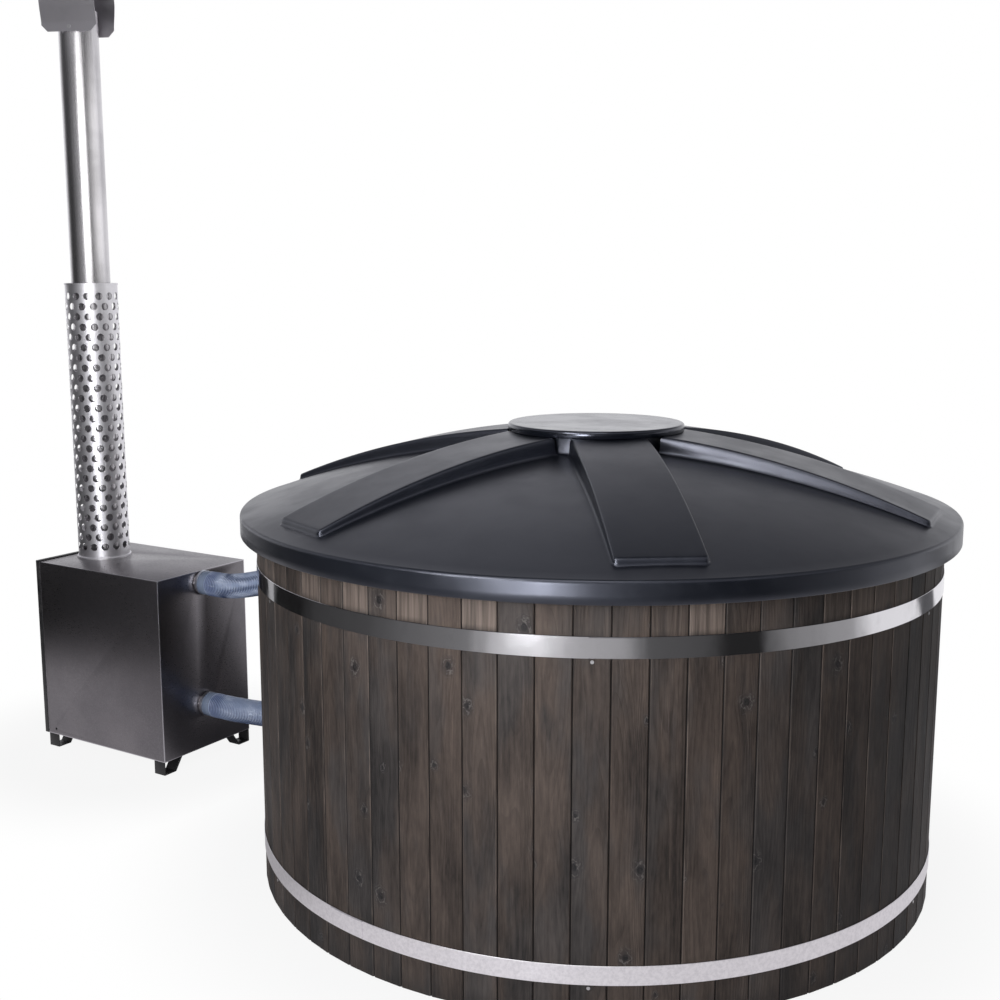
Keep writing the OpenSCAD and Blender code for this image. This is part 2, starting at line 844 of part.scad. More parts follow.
// ---- Ash drawer ----
drawer_gap = 2;
drawer_w = mouth_w - 2 * rail - 2 * drawer_gap;
drawer_t = 2;
drawer_front_t = 3;
drawer_back = fire_back - fire_t - 12;
drawer_h = 60;
drawer_front_z0 = fire_floor - 10;
drawer_front_z1 = door_z - 6;

module ash_drawer() {
    color("#4a4a4d")
        union() {
            difference() {
                box(front_x - touch, drawer_back, drawer_w, fire_floor + 0.2, fire_floor + drawer_h);
                box(front_x + drawer_t, drawer_back - drawer_t, drawer_w - 2 * drawer_t,
                    fire_floor + drawer_t, fire_floor + drawer_h + cut);
            }
            box(front_x - drawer_front_t, front_x, door_w, drawer_front_z0, drawer_front_z1);
        }
}

module drawer_handle() {
    post_r = 4;
    bar_r = 5;
    half = 50;
    stand = 26;
    z = (drawer_front_z0 + drawer_front_z1) / 2;
    color("#9c9ca1")
        translate([front_x - drawer_front_t, heater_y, z]) {
            for (s = [-1, 1])
                translate([0, s * (half - 8), 0])
                    rotate([0, -90, 0])
                        cylinder(r = post_r, h = stand, $fn = 32);
            translate([-stand, -half, 0])
                rotate([-90, 0, 0])
                    cylinder(r = bar_r, h = 2 * half, $fn = 32);
        }
}

// ---- Water pipes and hoses ----
stub_flange_r = 37;
stub_flange_t = 3;
hose_start = back_x + stub_flange_t + seat;
washer_x = -(tub_r + 8);                        // the outer face of a saddle washer
nut_x = washer_x - fitting_t;                   // the outer face of a locknut
hose_end = nut_x - seat;
pipe_reach = 60;                                // how far a pipe reaches into its hose
cuff_l = 2 * hose_r;                            // straight length at each end of a hose
hose_root = hose_r - hose_rib_d;
hose_plain_r = hose_r - 1;                      // radius of a hose's plain ends
hose_sides = 8;
hose_bore = max(hose_root - hose_wall, (pipe_r + 0.2) / cos(180 / hose_sides));
bore_steps = 24;
hose_l = hose_end - hose_start;
ribs = floor((hose_l - 2 * hose_plain) / hose_pitch);
rib_start = hose_start + (hose_l - ribs * hose_pitch) / 2;

module pipe_stubs() {
    color("#b9bac0")
        for (z = [hot_z, cold_z])
            at_pipe(z)
                translate([0, 0, 0])
                    difference() {
                        union() {
                            translate([0, 0, jacket_back - jacket_t])
                                cylinder(r = pipe_r,
                                    h = back_x + stub_flange_t + pipe_reach - jacket_back + jacket_t);
                            translate([0, 0, back_x])
                                cylinder(r = stub_flange_r, h = stub_flange_t);
                            translate([0, 0, jacket_back])
                                cylinder(r = pipe_r + 4, h = 3);
                        }
                        translate([0, 0, jacket_back - jacket_t - cut])
                            cylinder(r = pipe_r - pipe_t, h = -jacket_back);
                    }
}

// Height of a hose's middle line over its start, level for one diameter at each end
function hose_rise(x, rise) =
    let (u = (x - hose_start - cuff_l) / (hose_l - 2 * cuff_l), v = min(1, max(0, u)))
    rise * v * v * (3 - 2 * v);
function hose_slope(x, rise) = (hose_rise(x + 0.5, rise) - hose_rise(x - 0.5, rise));
function hose_ring(x, r, rise, z) =
    let (t = atan(hose_slope(x, rise)), h = hose_rise(x, rise))
    [for (i = [0 : hose_sides - 1]) let (a = (i + 0.5) * 360 / hose_sides)
        [x - r * sin(a) * sin(t), heater_y + r * cos(a), z + h + r * sin(a) * cos(t)]];
function rib_profile() = concat(
    [[hose_start, hose_plain_r], [rib_start - 1, hose_plain_r], [rib_start, hose_root]],
    [for (i = [0 : ribs - 1], k = [0, 1])
        [rib_start + (i + 0.3 + 0.5 * k) * hose_pitch, k == 0 ? hose_r : hose_root]],
    [[rib_start + ribs * hose_pitch + 1, hose_plain_r], [hose_end, hose_plain_r]]);
function bore_profile() =
    [for (i = [bore_steps : -1 : 0]) [hose_start + hose_l * i / bore_steps, hose_bore]];

module hose(rise, z) {
    rings = concat(rib_profile(), bore_profile());
    n = len(rings);
    points = [for (p = rings) each hose_ring(p[0], p[1], rise, z)];
    faces = [for (j = [0 : n - 1], i = [0 : hose_sides - 1])
        let (a = j * hose_sides + i, b = j * hose_sides + (i + 1) % hose_sides,
             c = ((j + 1) % n) * hose_sides + i, d = ((j + 1) % n) * hose_sides + (i + 1) % hose_sides)
        each [[a, b, c], [b, d, c]]];
    color("#9fb0cc")
        polyhedron(points = points, faces = faces, convexity = 10);
}

module hose_clamps() {
    inner = hose_plain_r + 0.2;
    screw_w = 14;
    color("#c9cad0")
        for (h = [[hot_z, 0], [cold_z, 0], [hot_z + hot_rise, 1], [cold_z + cold_rise, 1]]) {
            x = h[1] == 0 ? hose_start + 1 : hose_end - 1 - clamp_w;
            at_pipe(h[0])
                translate([0, 0, x])
                    difference() {
                        union() {
                            cylinder(r = inner + 1, h = clamp_w);
                            translate([-7, inner - 1, 1])
                                cube([screw_w, 9, clamp_w - 2]);
                            translate([-12, inner + 4.5, clamp_w / 2])
                                rotate([0, 90, 0])
                                    cylinder(r = 3.4, h = 24, $fn = 32);
                        }
                        translate([0, 0, -cut])
                            cylinder(r = inner, h = clamp_w + 2 * cut);
                    }
        }
}

// Wall pipes: the upper one ends in the liner's wall, the lower one runs under the bench to the foot well
gasket_t = 4;
function liner_face(r) = -sqrt(pow(r, 2) - pow(abs(heater_y) + fitting_r, 2)) + gasket_t;
ends = [[hot_z + hot_rise, liner_in], [cold_z + cold_rise, well_r]];

module wall_pipes() {
    color("#d8d9dc")
        for (e = ends) {
            face = liner_face(e[1]);
            at_pipe(e[0])
                difference() {
                    union() {
                        translate([0, 0, nut_x - pipe_reach])
                            cylinder(r = pipe_r, h = face - nut_x + pipe_reach + touch);
                        translate([0, 0, face])
                            cylinder(r = fitting_r, h = 6);
                    }
                    translate([0, 0, nut_x - pipe_reach - cut])
                        cylinder(r = pipe_r - pipe_t, h = tub_r);
                }
        }
}

module pipe_gaskets() {
    color("#2a2a2c")
        for (e = ends) {
            face = liner_face(e[1]);
            difference() {
                intersection() {
                    at_pipe(e[0])
                        translate([0, 0, face - 40])
                            cylinder(r = fitting_r, h = 40);
                    translate([0, 0, e[0] - fitting_r - cut])
                        cylinder(r = e[1], h = 2 * fitting_r + 2 * cut, $fn = 180);
                }
                at_pipe(e[0])
                    translate([0, 0, face - 60])
                        cylinder(r = pipe_r + seat, h = 80);
            }
        }
}

module saddle_washers() {
    color("#2a2a2c")
        for (e = ends)
            difference() {
                at_pipe(e[0])
                    translate([0, 0, washer_x])
                        cylinder(r = fitting_r, h = 30);
                translate([0, 0, e[0] - fitting_r - cut])
                    cylinder(r = tub_r + 0.1, h = 2 * fitting_r + 2 * cut, $fn = 180);
                at_pipe(e[0])
                    translate([0, 0, washer_x - cut])
                        cylinder(r = pipe_r + seat, h = 60);
            }
}

module pipe_locknuts() {
    grips = 8;
    color("#d8d9dc")
        for (e = ends)
            at_pipe(e[0])
                translate([0, 0, nut_x])
                    difference() {
                        union() {
                            cylinder(r = fitting_r - 8, h = fitting_t);
                            for (i = [0 : grips - 1])
                                rotate([0, 0, i * 360 / grips])
                                    translate([fitting_r - 12, -5, 1])
                                        cube([9, 10, fitting_t - 2]);
                        }
                        translate([0, 0, -cut])
                            cylinder(r = pipe_r + 0.1, h = fitting_t + 2 * cut);
                    }
}

module strainer_grilles() {
    bars = 7;
    depth = 14;
    wall = 3;
    color("#d8d9dc")
        for (e = ends) {
            face = liner_face(e[1]) + 6;
            at_pipe(e[0])
                translate([0, 0, face])
                    difference() {
                        cylinder(r = fitting_r - 4, h = depth);
                        translate([0, 0, -cut])
                            cylinder(r = fitting_r - 4 - wall, h = depth - wall + cut);
                        for (i = [0 : bars - 1])
                            translate([-fitting_r * 0.55, (i - (bars - 1) / 2) * 10 - 2, depth - wall - cut])
                                cube([fitting_r * 1.1, 4, wall + 2 * cut]);
                    }
        }
}

// ---- Chimney ----
collar_t = 4;
flue_foot = heater_top + collar_t;
flue_joint = heater_top + shield_h - 60;
shield_t = 1.5;
ring_w = 5;
ring_h = 7;
bead_h = 6;
shield_top = heater_top + shield_h;
hole_pitch = (shield_h - 2 * hole_margin) / (hole_rows - 1);
hole_phase = -38.2;
stainless = "#b4b4ba";
rain_mid = flue_top + 30;
rain_t = 1.5;
rain_low = flue_top - rain_drop;
rivet_z = rain_low + 15;

module at_flue(z) translate([flue_x, heater_y, z]) children();

module tube(r, t, h) {
    difference() {
        cylinder(r = r, h = h);
        translate([0, 0, -cut])
            cylinder(r = r - t, h = h + 2 * cut);
    }
}

module flue_collar() {
    color(stainless)
        at_flue(heater_top)
            tube(shield_r - shield_t - 2, shield_r - shield_t - 2 - neck_r - seat, collar_t);
}

module flue_lower() {
    color(stainless)
        at_flue(flue_foot) {
            tube(flue_r, flue_t, flue_joint - flue_foot);
            translate([0, 0, flue_joint - flue_foot - 30])
                tube(flue_r - flue_t + touch, 1.2, 30);
            translate([0, 0, flue_joint - flue_foot - touch])
                tube(flue_r - flue_t - seat, 1.2 - seat, 40);
        }
}

module flue_upper() {
    color(stainless)
        difference() {
            at_flue(flue_joint)
                tube(flue_r, flue_t, flue_top - flue_joint);
            at_rivets()
                cylinder(r = 3.1, h = 12, center = true, $fn = 24);
        }
}

module heat_shield() {
    color(stainless)
        difference() {
            at_flue(heater_top + seat)
                tube(shield_r, shield_t, shield_h - seat);
            for (i = [0 : hole_rows - 1], j = [0 : hole_n - 1])
                at_flue(heater_top + hole_margin + i * hole_pitch)
                    rotate([0, 0, hole_phase + (j + (i % 2) / 2) * 360 / hole_n])
                        translate([shield_r - 10, 0, 0])
                            rotate([0, 90, 0])
                                cylinder(r = hole_d / 2, h = 14, $fn = 32);
        }
}

module shield_rings() {
    inner = shield_r + 0.2;
    color(stainless) {
        at_flue(heater_top)
            rotate_extrude($fn = 96)
                polygon(concat(
                    [[inner, 0], [inner + ring_w, 0]],
                    arc(inner + ring_w - ring_h / 2, ring_h / 2, ring_h / 2, -20, 90, 6),
                    [[inner, ring_h]]
                ));
        at_flue(shield_top - bead_h)
            tube(inner + 1.8, 1.8, bead_h);
    }
}

module shield_spacers() {
    w = 16;
    inner = flue_r + 0.15;
    outer = shield_r - shield_t - 0.15;
    color(stainless)
        for (z = [heater_top + 14, shield_top - 30], i = [0 : 2])
            at_flue(z)
                rotate([0, 0, hole_phase + 360 / hole_n / 4 + i * 120])
                    intersection() {
                        translate([0, -1, 0])
                            cube([shield_r, 2, w]);
                        tube(outer, outer - inner, w);
                    }
}

module at_rain() at_flue(0) rotate([0, 0, rain_turn]) children();

module at_rivets() {
    for (s = [-1, 1])
        at_rain()
            translate([0, s * flue_r, rivet_z])
                rotate([90, 0, 0])
                    children();
}

module rain_cap() {
    chamfer = 22;
    steps = 24;
    in_half = flue_r + seat;
    out_half = in_half + rain_t;
    flat = 30;
    arch_in = rain_r - rain_t;
    color(stainless)
        difference() {
            at_rain()
                translate([-rain_l / 2, 0, 0])
                    rotate([90, 0, 90])
                        linear_extrude(rain_l)
                            polygon(concat(
                                [[out_half, rain_low], [out_half, rain_low + flat]],
                                arc(0, rain_mid, rain_r, 0, 180, steps),
                                [[-out_half, rain_low + flat], [-out_half, rain_low],
                                 [-in_half, rain_low], [-in_half, rain_low + flat]],
                                arc(0, rain_mid, arch_in, 180, 0, steps),
                                [[in_half, rain_low + flat], [in_half, rain_low]]
                            ));
            for (s = [-1, 1])
                at_rain()
                    translate([s * rain_l / 2, 0, rain_low])
                        rotate([0, 45, 0])
                            cube([chamfer * 1.4, 4 * rain_r, chamfer * 1.4], center = true);
            at_rivets()
                cylinder(r = 3.1, h = 12, center = true, $fn = 24);
        }
}

module cap_rivets() {
    shank = flue_t + rain_t + 2 * seat;
    color("#8d8f94")
        for (s = [-1, 1])
            at_rain()
                translate([0, s * (flue_r - flue_t - 2 - seat), rivet_z])
                    rotate([s * -90, 0, 0]) {
                        cylinder(r = 5, h = 2, $fn = 32);
                        cylinder(r = 3, h = shank + 2 + touch, $fn = 24);
                        translate([0, 0, shank + 2])
                            cylinder(r = 6, h = 2, $fn = 32);
                    }
}

// ---- Drain ----
valve_y = sqrt(pow(tub_r, 2) - pow(drain_x, 2)) + 14;
valve_l = 70;
valve_r = 26;
ball_r = 21;
stem_r = 5;
lever_z = drain_z + valve_r + 12;

module drain_outlet() {
    top = floor_top + liner_t;
    color("#d8d9dc")
        difference() {
            union() {
                translate([drain_x, 0, top])
                    cylinder(r = drain_flange_r, h = drain_flange_t);
                translate([drain_x, 0, drain_z + drain_r + 4])
                    cylinder(r = drain_tail_r, h = top - drain_z - drain_r - 4 + touch);
            }
            translate([drain_x, 0, drain_z])
                cylinder(r = drain_tail_r - 3, h = top - drain_z);
            for (i = [0 : 5])
                translate([drain_x, 0, top - cut])
                    rotate([0, 0, i * 60])
                        translate([8, 0, 0])
                            cylinder(r = 3, h = drain_flange_t + 2 * cut, $fn = 24);
        }
}

module drain_pipe() {
    color("#8f9296")
        difference() {
            union() {
                translate([drain_x, -drain_r - 4, drain_z])
                    rotate([-90, 0, 0])
                        cylinder(r = drain_r, h = valve_y + drain_r + 4);
                translate([drain_x, 0, drain_z])
                    cylinder(r = drain_r + 3, h = drain_r + 4);
            }
            translate([drain_x, -drain_r - 1, drain_z])
                rotate([-90, 0, 0])
                    cylinder(r = drain_r - 3, h = tub_r * 1.1);
            translate([drain_x, 0, drain_z])
                cylinder(r = drain_r - 3, h = drain_r + 4 + cut);
        }
}

module drain_valve() {
    color("#b08d3c")
        translate([drain_x, valve_y, drain_z])
            rotate([-90, 0, 0])
                difference() {
                    union() {
                        cylinder(r = valve_r, h = valve_l);
                        translate([0, 0, valve_l])
                            cylinder(r = drain_r + 1, h = 18);
                        translate([0, 0, valve_l / 2])
                            rotate([90, 0, 0])
                                cylinder(r = stem_r + 5, h = valve_r + 6);
                    }
                    translate([0, 0, -cut])
                        cylinder(r = drain_r - 3, h = valve_l + 40);
                    translate([0, 0, valve_l - 8])
                        cylinder(r = drain_r - 2, h = 40);
                    translate([0, 0, valve_l / 2])
                        sphere(r = ball_r + 0.3);
                    translate([0, 0, valve_l / 2])
                        rotate([90, 0, 0])
                            cylinder(r = stem_r + 0.05, h = valve_r + 10, $fn = 48);
                }
}

module at_stem() translate([drain_x, valve_y + valve_l / 2, 0]) children();

module valve_ball() {
    color("#c9cad0")
        at_stem()
            difference() {
                union() {
                    translate([0, 0, drain_z])
                        sphere(r = ball_r);
                    translate([0, 0, drain_z + ball_r - 3])
                        cylinder(r = stem_r, h = lever_z - drain_z - ball_r + 3 + 8, $fn = 48);
                }
                translate([-ball_r - cut, 0, drain_z])
                    rotate([0, 90, 0])
                        cylinder(r = drain_r - 3, h = 2 * ball_r + 2 * cut);
            }
}

module valve_lever() {
    color("#8c2b22")
        at_stem()
            difference() {
                union() {
                    translate([0, 0, lever_z])
                        cylinder(r = stem_r + 5, h = 5, $fn = 48);
                    translate([0, -7, lever_z])
                        cube([lever_l, 14, 5]);
                }
                translate([0, 0, lever_z - cut])
                    cylinder(r = stem_r, h = 5 + 2 * cut, $fn = 48);
            }
}

wall_staves(0);  // wall_staves_1
wall_staves(1);  // wall_staves_2
wall_staves(2);  // wall_staves_3
wall_staves(3);  // wall_staves_4
wall_staves(4);  // wall_staves_5
wall_staves(5);  // wall_staves_6
wall_staves(6);  // wall_staves_7
wall_staves(7);  // wall_staves_8
base_joists();
floor_panel();
liner_floor();
liner_well();
liner_bench();
liner_wall();
liner_rim();
hoop(top_hoop_z, top_hoop_w);  // hoop_upper
hoop(low_hoop_z, low_hoop_w);  // hoop_lower
hoop_bolts();
hoop_screws();
lid_shell();
lid_skirt();
lid_cap();
lid_core();
lid_panel();
heater_casing();
front_plate();
water_jacket();
firebox();
flue_neck();
fire_grate();
heater_feet();
firebox_door();
door_handle();
door_baffle();
hinge_pins();
air_shutter();
ash_drawer();
drawer_handle();
pipe_stubs();
hose(hot_rise, hot_z);  // hose_upper
hose(cold_rise, cold_z);  // hose_lower
hose_clamps();
wall_pipes();
pipe_gaskets();
pipe_locknuts();
saddle_washers();
strainer_grilles();
flue_collar();
flue_lower();
flue_upper();
heat_shield();
shield_rings();
shield_spacers();
rain_cap();
cap_rivets();
drain_outlet();
drain_pipe();
drain_valve();
valve_ball();
valve_lever();
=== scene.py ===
"""Looks of the round wooden hot tub with its domed lid, outside heater and chimney. Metres, CAD frame."""
import json
import math

import bmesh
import bpy
from mathutils import Matrix, Vector


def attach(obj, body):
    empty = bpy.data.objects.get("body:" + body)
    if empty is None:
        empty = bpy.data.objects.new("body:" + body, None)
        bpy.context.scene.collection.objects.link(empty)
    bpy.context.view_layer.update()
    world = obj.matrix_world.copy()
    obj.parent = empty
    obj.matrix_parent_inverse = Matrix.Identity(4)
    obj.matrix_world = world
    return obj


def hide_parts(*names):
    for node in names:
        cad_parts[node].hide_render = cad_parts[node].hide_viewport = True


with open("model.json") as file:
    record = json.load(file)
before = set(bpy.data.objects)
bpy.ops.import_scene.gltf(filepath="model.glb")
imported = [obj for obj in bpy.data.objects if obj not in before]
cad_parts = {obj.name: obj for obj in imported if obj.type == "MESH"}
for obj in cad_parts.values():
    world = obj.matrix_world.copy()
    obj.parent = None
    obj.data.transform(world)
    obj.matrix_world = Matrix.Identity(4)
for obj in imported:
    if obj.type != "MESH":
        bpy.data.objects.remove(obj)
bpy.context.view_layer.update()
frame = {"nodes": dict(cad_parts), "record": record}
nodes = frame["nodes"]
sin, cos, pi, sqrt = math.sin, math.cos, math.pi, math.sqrt

# ---- Camera, fitted to the tub's outlines in the photograph ----
cam_data = bpy.data.cameras.new("camera")
cam_data.lens = 48.08
cam_data.sensor_width = 36.0
cam_data.clip_end = 100
camera = bpy.data.objects.new("camera", cam_data)
camera.location = (1.6745, -3.1360, 1.5872)
camera.rotation_euler = (math.radians(80.429), 0, math.radians(32.229))
bpy.context.collection.objects.link(camera)
bpy.context.scene.camera = camera

# ---- Sizes shared with the CAD model ----
SEAT = 0.0003                              # gap where a loose part sits on its seat
STAVES = 71
TUB_R = 0.900
BOARD_W = 0.0797                           # width of a stave's face
STAVE_STEP = 2 * pi / STAVES
HOSE_Y = -0.061                            # the heater's middle, its hoses and its chimney
JOINT = pi + math.asin(-HOSE_Y / TUB_R)    # a joint of two staves, where the hoses pass the wall
HEATER_GAP, HEATER_W, HEATER_TOP, FOOT_H = 0.510, 0.392, 0.640, 0.044
CASING_D, FRONT_D, FLUE_INSET = 0.554, 0.017, 0.112
BACK_X = -(TUB_R + HEATER_GAP)
CASING_X = BACK_X - CASING_D
FRONT_X = CASING_X - FRONT_D
HEATER_MID = (FRONT_X + BACK_X) / 2
FLUE = (FRONT_X + FLUE_INSET, HOSE_Y)
STUB_FLANGE, WASHER, LOCKNUT = 0.003, 0.008, 0.012
HOSE_START = BACK_X + STUB_FLANGE + SEAT
HOSE_END = -(TUB_R + WASHER) - LOCKNUT - SEAT
HOSE_L = HOSE_END - HOSE_START
HOSE_PITCH = 0.007
HOSE_PLAIN = 0.036                         # length without ribs at each end of a hose
HOSE_RIBS = int((HOSE_L - 2 * HOSE_PLAIN) / HOSE_PITCH)
HOSE_FIRST_RIB = HOSE_START + (HOSE_L - HOSE_RIBS * HOSE_PITCH) / 2
HOSE_CUFF = 0.080                          # straight length at each end of a hose


# ---- Node graph helpers ----
class Nodes:
    """Short calls for the nodes of a material or of the world."""

    def __init__(self, tree):
        self.tree = tree

    def put(self, socket, value):
        """Links an output to a socket, or sets the socket's own value."""
        if isinstance(value, bpy.types.NodeSocket):
            self.tree.links.new(value, socket)
        else:
            if isinstance(value, tuple) and len(value) == 3 and socket.type == "RGBA":
                value = (*value, 1)
            socket.default_value = value

    def node(self, kind, out=0, ins=None, **props):
        """Adds a node with its inputs and settings. Gives one output, or the node itself if out is None."""
        n = self.tree.nodes.new("ShaderNode" + kind)
        for key, value in props.items():
            setattr(n, key, value)
        for key, value in (ins or {}).items():
            self.put(n.inputs[key], value)
        return n if out is None else n.outputs[out]

    def coord(self):
        return self.node("TexCoord", "Object")

    def xyz(self, vector=None):
        n = self.node("SeparateXYZ", None, {0: vector or self.coord()})
        return n.outputs[0], n.outputs[1], n.outputs[2]

    def vec(self, x, y, z):
        return self.node("CombineXYZ", 0, {0: x, 1: y, 2: z})

    def math(self, op, a, b=0.0, c=0.0, clamp=False):
        return self.node("Math", 0, {0: a, 1: b, 2: c}, operation=op, use_clamp=clamp)

    def times(self, a, b):
        return self.math("MULTIPLY", a, b)

    def plus(self, a, b, clamp=False):
        return self.math("ADD", a, b, clamp=clamp)

    def minus(self, a, b):
        return self.math("SUBTRACT", a, b)

    def length(self, a, b, share=1.0):
        """The length of a flat vector, in which the square of b counts for a share."""
        return self.math("SQRT", self.plus(self.times(a, a), self.times(self.times(b, b), share)))

    def azimuth(self, x, y):
        """The direction round the tub's axis, as 0 to 1 from -180 to 180 degrees."""
        return self.math("MULTIPLY_ADD", self.math("ARCTAN2", y, x), 1 / (2 * pi), 0.5)

    def noise(self, vector, scale=1.0, detail=3.0, rough=0.5):
        ins = {"Vector": vector, "Scale": scale, "Detail": detail, "Roughness": rough}
        return self.node("TexNoise", 0, ins)

    def streaks(self, kx, ky, kz, detail=3.0, rough=0.5):
        """Noise drawn out along the axes with a small factor."""
        x, y, z = self.xyz()
        place = self.vec(self.times(x, kx), self.times(y, ky), self.times(z, kz))
        return self.noise(place, 1.0, detail, rough)

    def step(self, value, low, high, to_low=0.0, to_high=1.0, kind="SMOOTHSTEP"):
        """A soft step between two levels, held at its ends."""
        return self.node("MapRange", 0, {0: value, 1: low, 2: high, 3: to_low, 4: to_high},
                         interpolation_type=kind, clamp=True)

    def mix(self, fac, a, b, kind="MIX"):
        n = self.node("Mix", None, data_type="RGBA", blend_type=kind, clamp_factor=True)
        self.put(n.inputs[0], fac)
        self.put(n.inputs[6], a)
        self.put(n.inputs[7], b)
        return n.outputs[2]

    def ramp(self, value, stops):
        n = self.node("ValToRGB", None, {0: value})
        e = n.color_ramp.elements
        while len(e) < len(stops):
            e.new(0.5)
        for item, (place, color) in zip(e, stops):
            item.position = place
            item.color = (*color, 1)
        return n.outputs[0]

    def all_round(self, azimuth, stops, tint=(1, 1, 1)):
        """Greys in the directions of a list of (degrees, brightness)."""
        return self.ramp(azimuth, [(a / 360 + 0.5, tinted(v, tint)) for a, v in stops])

    def blend(self, fac, a, b):
        """One shader or the other."""
        return self.node("MixShader", 0, {0: fac, 1: a, 2: b})

    def bump(self, height, strength, distance, normal=None):
        ins = {"Height": height, "Strength": strength, "Distance": distance}
        if normal is not None:
            ins["Normal"] = normal
        return self.node("Bump", 0, ins)


class Mat(Nodes):
    """A Principled material."""

    def __init__(self, name, color=(0.5, 0.5, 0.5), metal=0.0, rough=0.5, **more):
        self.material = bpy.data.materials.new(name)
        self.material.use_nodes = True
        super().__init__(self.material.node_tree)
        self.shader = self.tree.nodes["Principled BSDF"]
        self.base(color)
        self.put(self.shader.inputs["Metallic"], metal)
        self.rough(rough)
        for key, value in more.items():
            self.put(self.shader.inputs[key.replace("_", " ")], value)

    def base(self, socket):
        self.put(self.shader.inputs["Base Color"], socket)

    def rough(self, socket):
        self.put(self.shader.inputs["Roughness"], socket)

    def normal(self, socket):
        self.put(self.shader.inputs["Normal"], socket)


def tinted(v, tint=(1, 1, 1)):
    """A colour at a share of its brightness."""
    return tuple(v * t for t in tint)


# ---- Stained wood of the staves ----
KNOT_CELL_U, KNOT_CELL_Z = 0.115, 0.225


class BoardMat(Mat):
    """A material that knows which board of the wall it lies on, and the place on that board."""

    def __init__(self, name, **more):
        super().__init__(name, **more)
        x, y, self.z = self.xyz()
        place = self.math("DIVIDE", self.minus(self.math("ARCTAN2", y, x), JOINT), STAVE_STEP)
        whole = self.math("FLOOR", place)
        self.board = self.math("FLOORED_MODULO", whole, float(STAVES))
        self.across = self.minus(self.minus(place, whole), 0.5)           # -0.5 to 0.5 on one board
        self.u = self.times(self.across, BOARD_W)
        self.deep = self.times(self.board, 3.137)                         # gives each board its own noise
        own = self.node("TexWhiteNoise", 1, {"W": self.board}, noise_dimensions="1D")
        self.chances = self.node("SeparateColor", None, {0: own}).outputs

    def grain(self, side, wide, tall, shift=0.0, detail=3.0, rough=0.6):
        """Noise with so many grains a metre across and along the board."""
        third = self.plus(self.deep, shift) if shift else self.deep
        place = self.vec(self.times(side, wide), self.times(self.z, tall), third)
        return self.noise(place, 1.0, detail, rough)


def knots(m):
    """One point in each cell of a board, of which some grow to a knot, and the grain bent round them."""
    ku = m.math("MULTIPLY_ADD", m.board, 1.37, m.math("DIVIDE", m.u, KNOT_CELL_U))
    kz = m.math("MULTIPLY_ADD", m.chances[0], 9.0, m.math("DIVIDE", m.z, KNOT_CELL_Z))
    cell = m.node("TexVoronoi", None, {"Vector": m.vec(ku, kz, 0.0), "Scale": 1.0, "Randomness": 0.9},
                  voronoi_dimensions="2D", feature="F1")
    pos_u, pos_z, _ = m.xyz(cell.outputs["Position"])
    chance = m.node("SeparateColor", None, {0: cell.outputs["Color"]})
    du = m.times(m.minus(ku, pos_u), KNOT_CELL_U)
    dz = m.times(m.minus(kz, pos_z), KNOT_CELL_Z)
    ragged = m.times(m.minus(m.grain(m.u, 90.0, 70.0, detail=2.0, rough=0.5), 0.5), 0.009)
    grows = m.step(chance.outputs[0], 0.28, 0.62)
    size = m.times(grows, m.step(chance.outputs[1], 0.0, 1.0, 0.0030, 0.0070))
    rel = m.math("DIVIDE", m.plus(m.length(du, dz, 0.55), ragged), m.plus(size, 0.0002))
    there = m.step(size, 0.0010, 0.0030)
    core = m.times(m.step(rel, 1.05, 0.75), there)
    halo = m.times(m.step(rel, 3.8, 1.0), there)
    wave = m.math("SINE", m.math("MULTIPLY_ADD", rel, 4.6, m.times(ragged, 1500.0)))
    torn = m.grain(m.u, 130.0, 60.0, 3.0, 2.0, 0.5)
    eye = m.times(m.times(m.step(wave, 0.1, 0.9), halo), m.step(torn, 0.36, 0.56))
    push = m.times(m.step(m.length(du, dz, 0.12), 0.030, 0.004), there)
    bent = m.minus(m.u, m.times(m.times(du, push), 0.62))
    return core, halo, eye, torn, bent


def growth_rings(m, bent):
    """A slice through a wavering trunk gives lines at the sides and arches in the middle."""
    pith = m.times(m.minus(m.chances[1], 0.5), 0.07)
    waver = m.grain(m.u, 7.0, 1.5, 0.0, 2.0, 0.5)
    depth = m.plus(m.math("MULTIPLY_ADD", m.chances[2], 0.030, 0.006), m.times(waver, 0.062))
    rings = m.math("FRACT", m.times(m.length(m.minus(bent, pith), depth), 235.0))
    return m.times(m.step(rings, 0.35, 0.90), m.step(rings, 1.0, 0.93))


def stain_tone(m, late, streak, fine):
    """How pale the stain is: clouds, streaks, rings, short scuffs along the grain and small long smudges."""
    cloud = m.grain(m.u, 15.0, 4.2, 0.0, 4.0, 0.58)
    drift = m.grain(m.u, 5.0, 1.5, 40.0, 2.0, 0.5)
    worn = m.grain(m.u, 40.0, 5.0, 7.0)
    scuff = m.times(m.step(m.grain(m.u, 800.0, 16.0, 0.0, 2.0, 0.5), 0.56, 0.72), m.step(worn, 0.50, 0.66))
    fleck = m.grain(m.u, 150.0, 26.0, 17.0, 3.0, 0.65)
    tone = m.plus(m.times(m.step(cloud, 0.30, 0.70), 0.46), m.times(m.step(streak, 0.3, 0.7), 0.26))
    tone = m.plus(tone, m.times(m.step(drift, 0.35, 0.65), 0.22))
    tone = m.plus(tone, m.times(m.minus(m.chances[2], 0.5), 0.34))
    tone = m.minus(tone, m.times(late, m.step(streak, 0.35, 0.65, 0.04, 0.20)))
    tone = m.plus(tone, m.times(m.minus(fine, 0.5), 0.46))
    tone = m.plus(tone, m.times(scuff, 0.50))
    return m.plus(tone, m.times(m.minus(fleck, 0.5), 0.75), clamp=True)


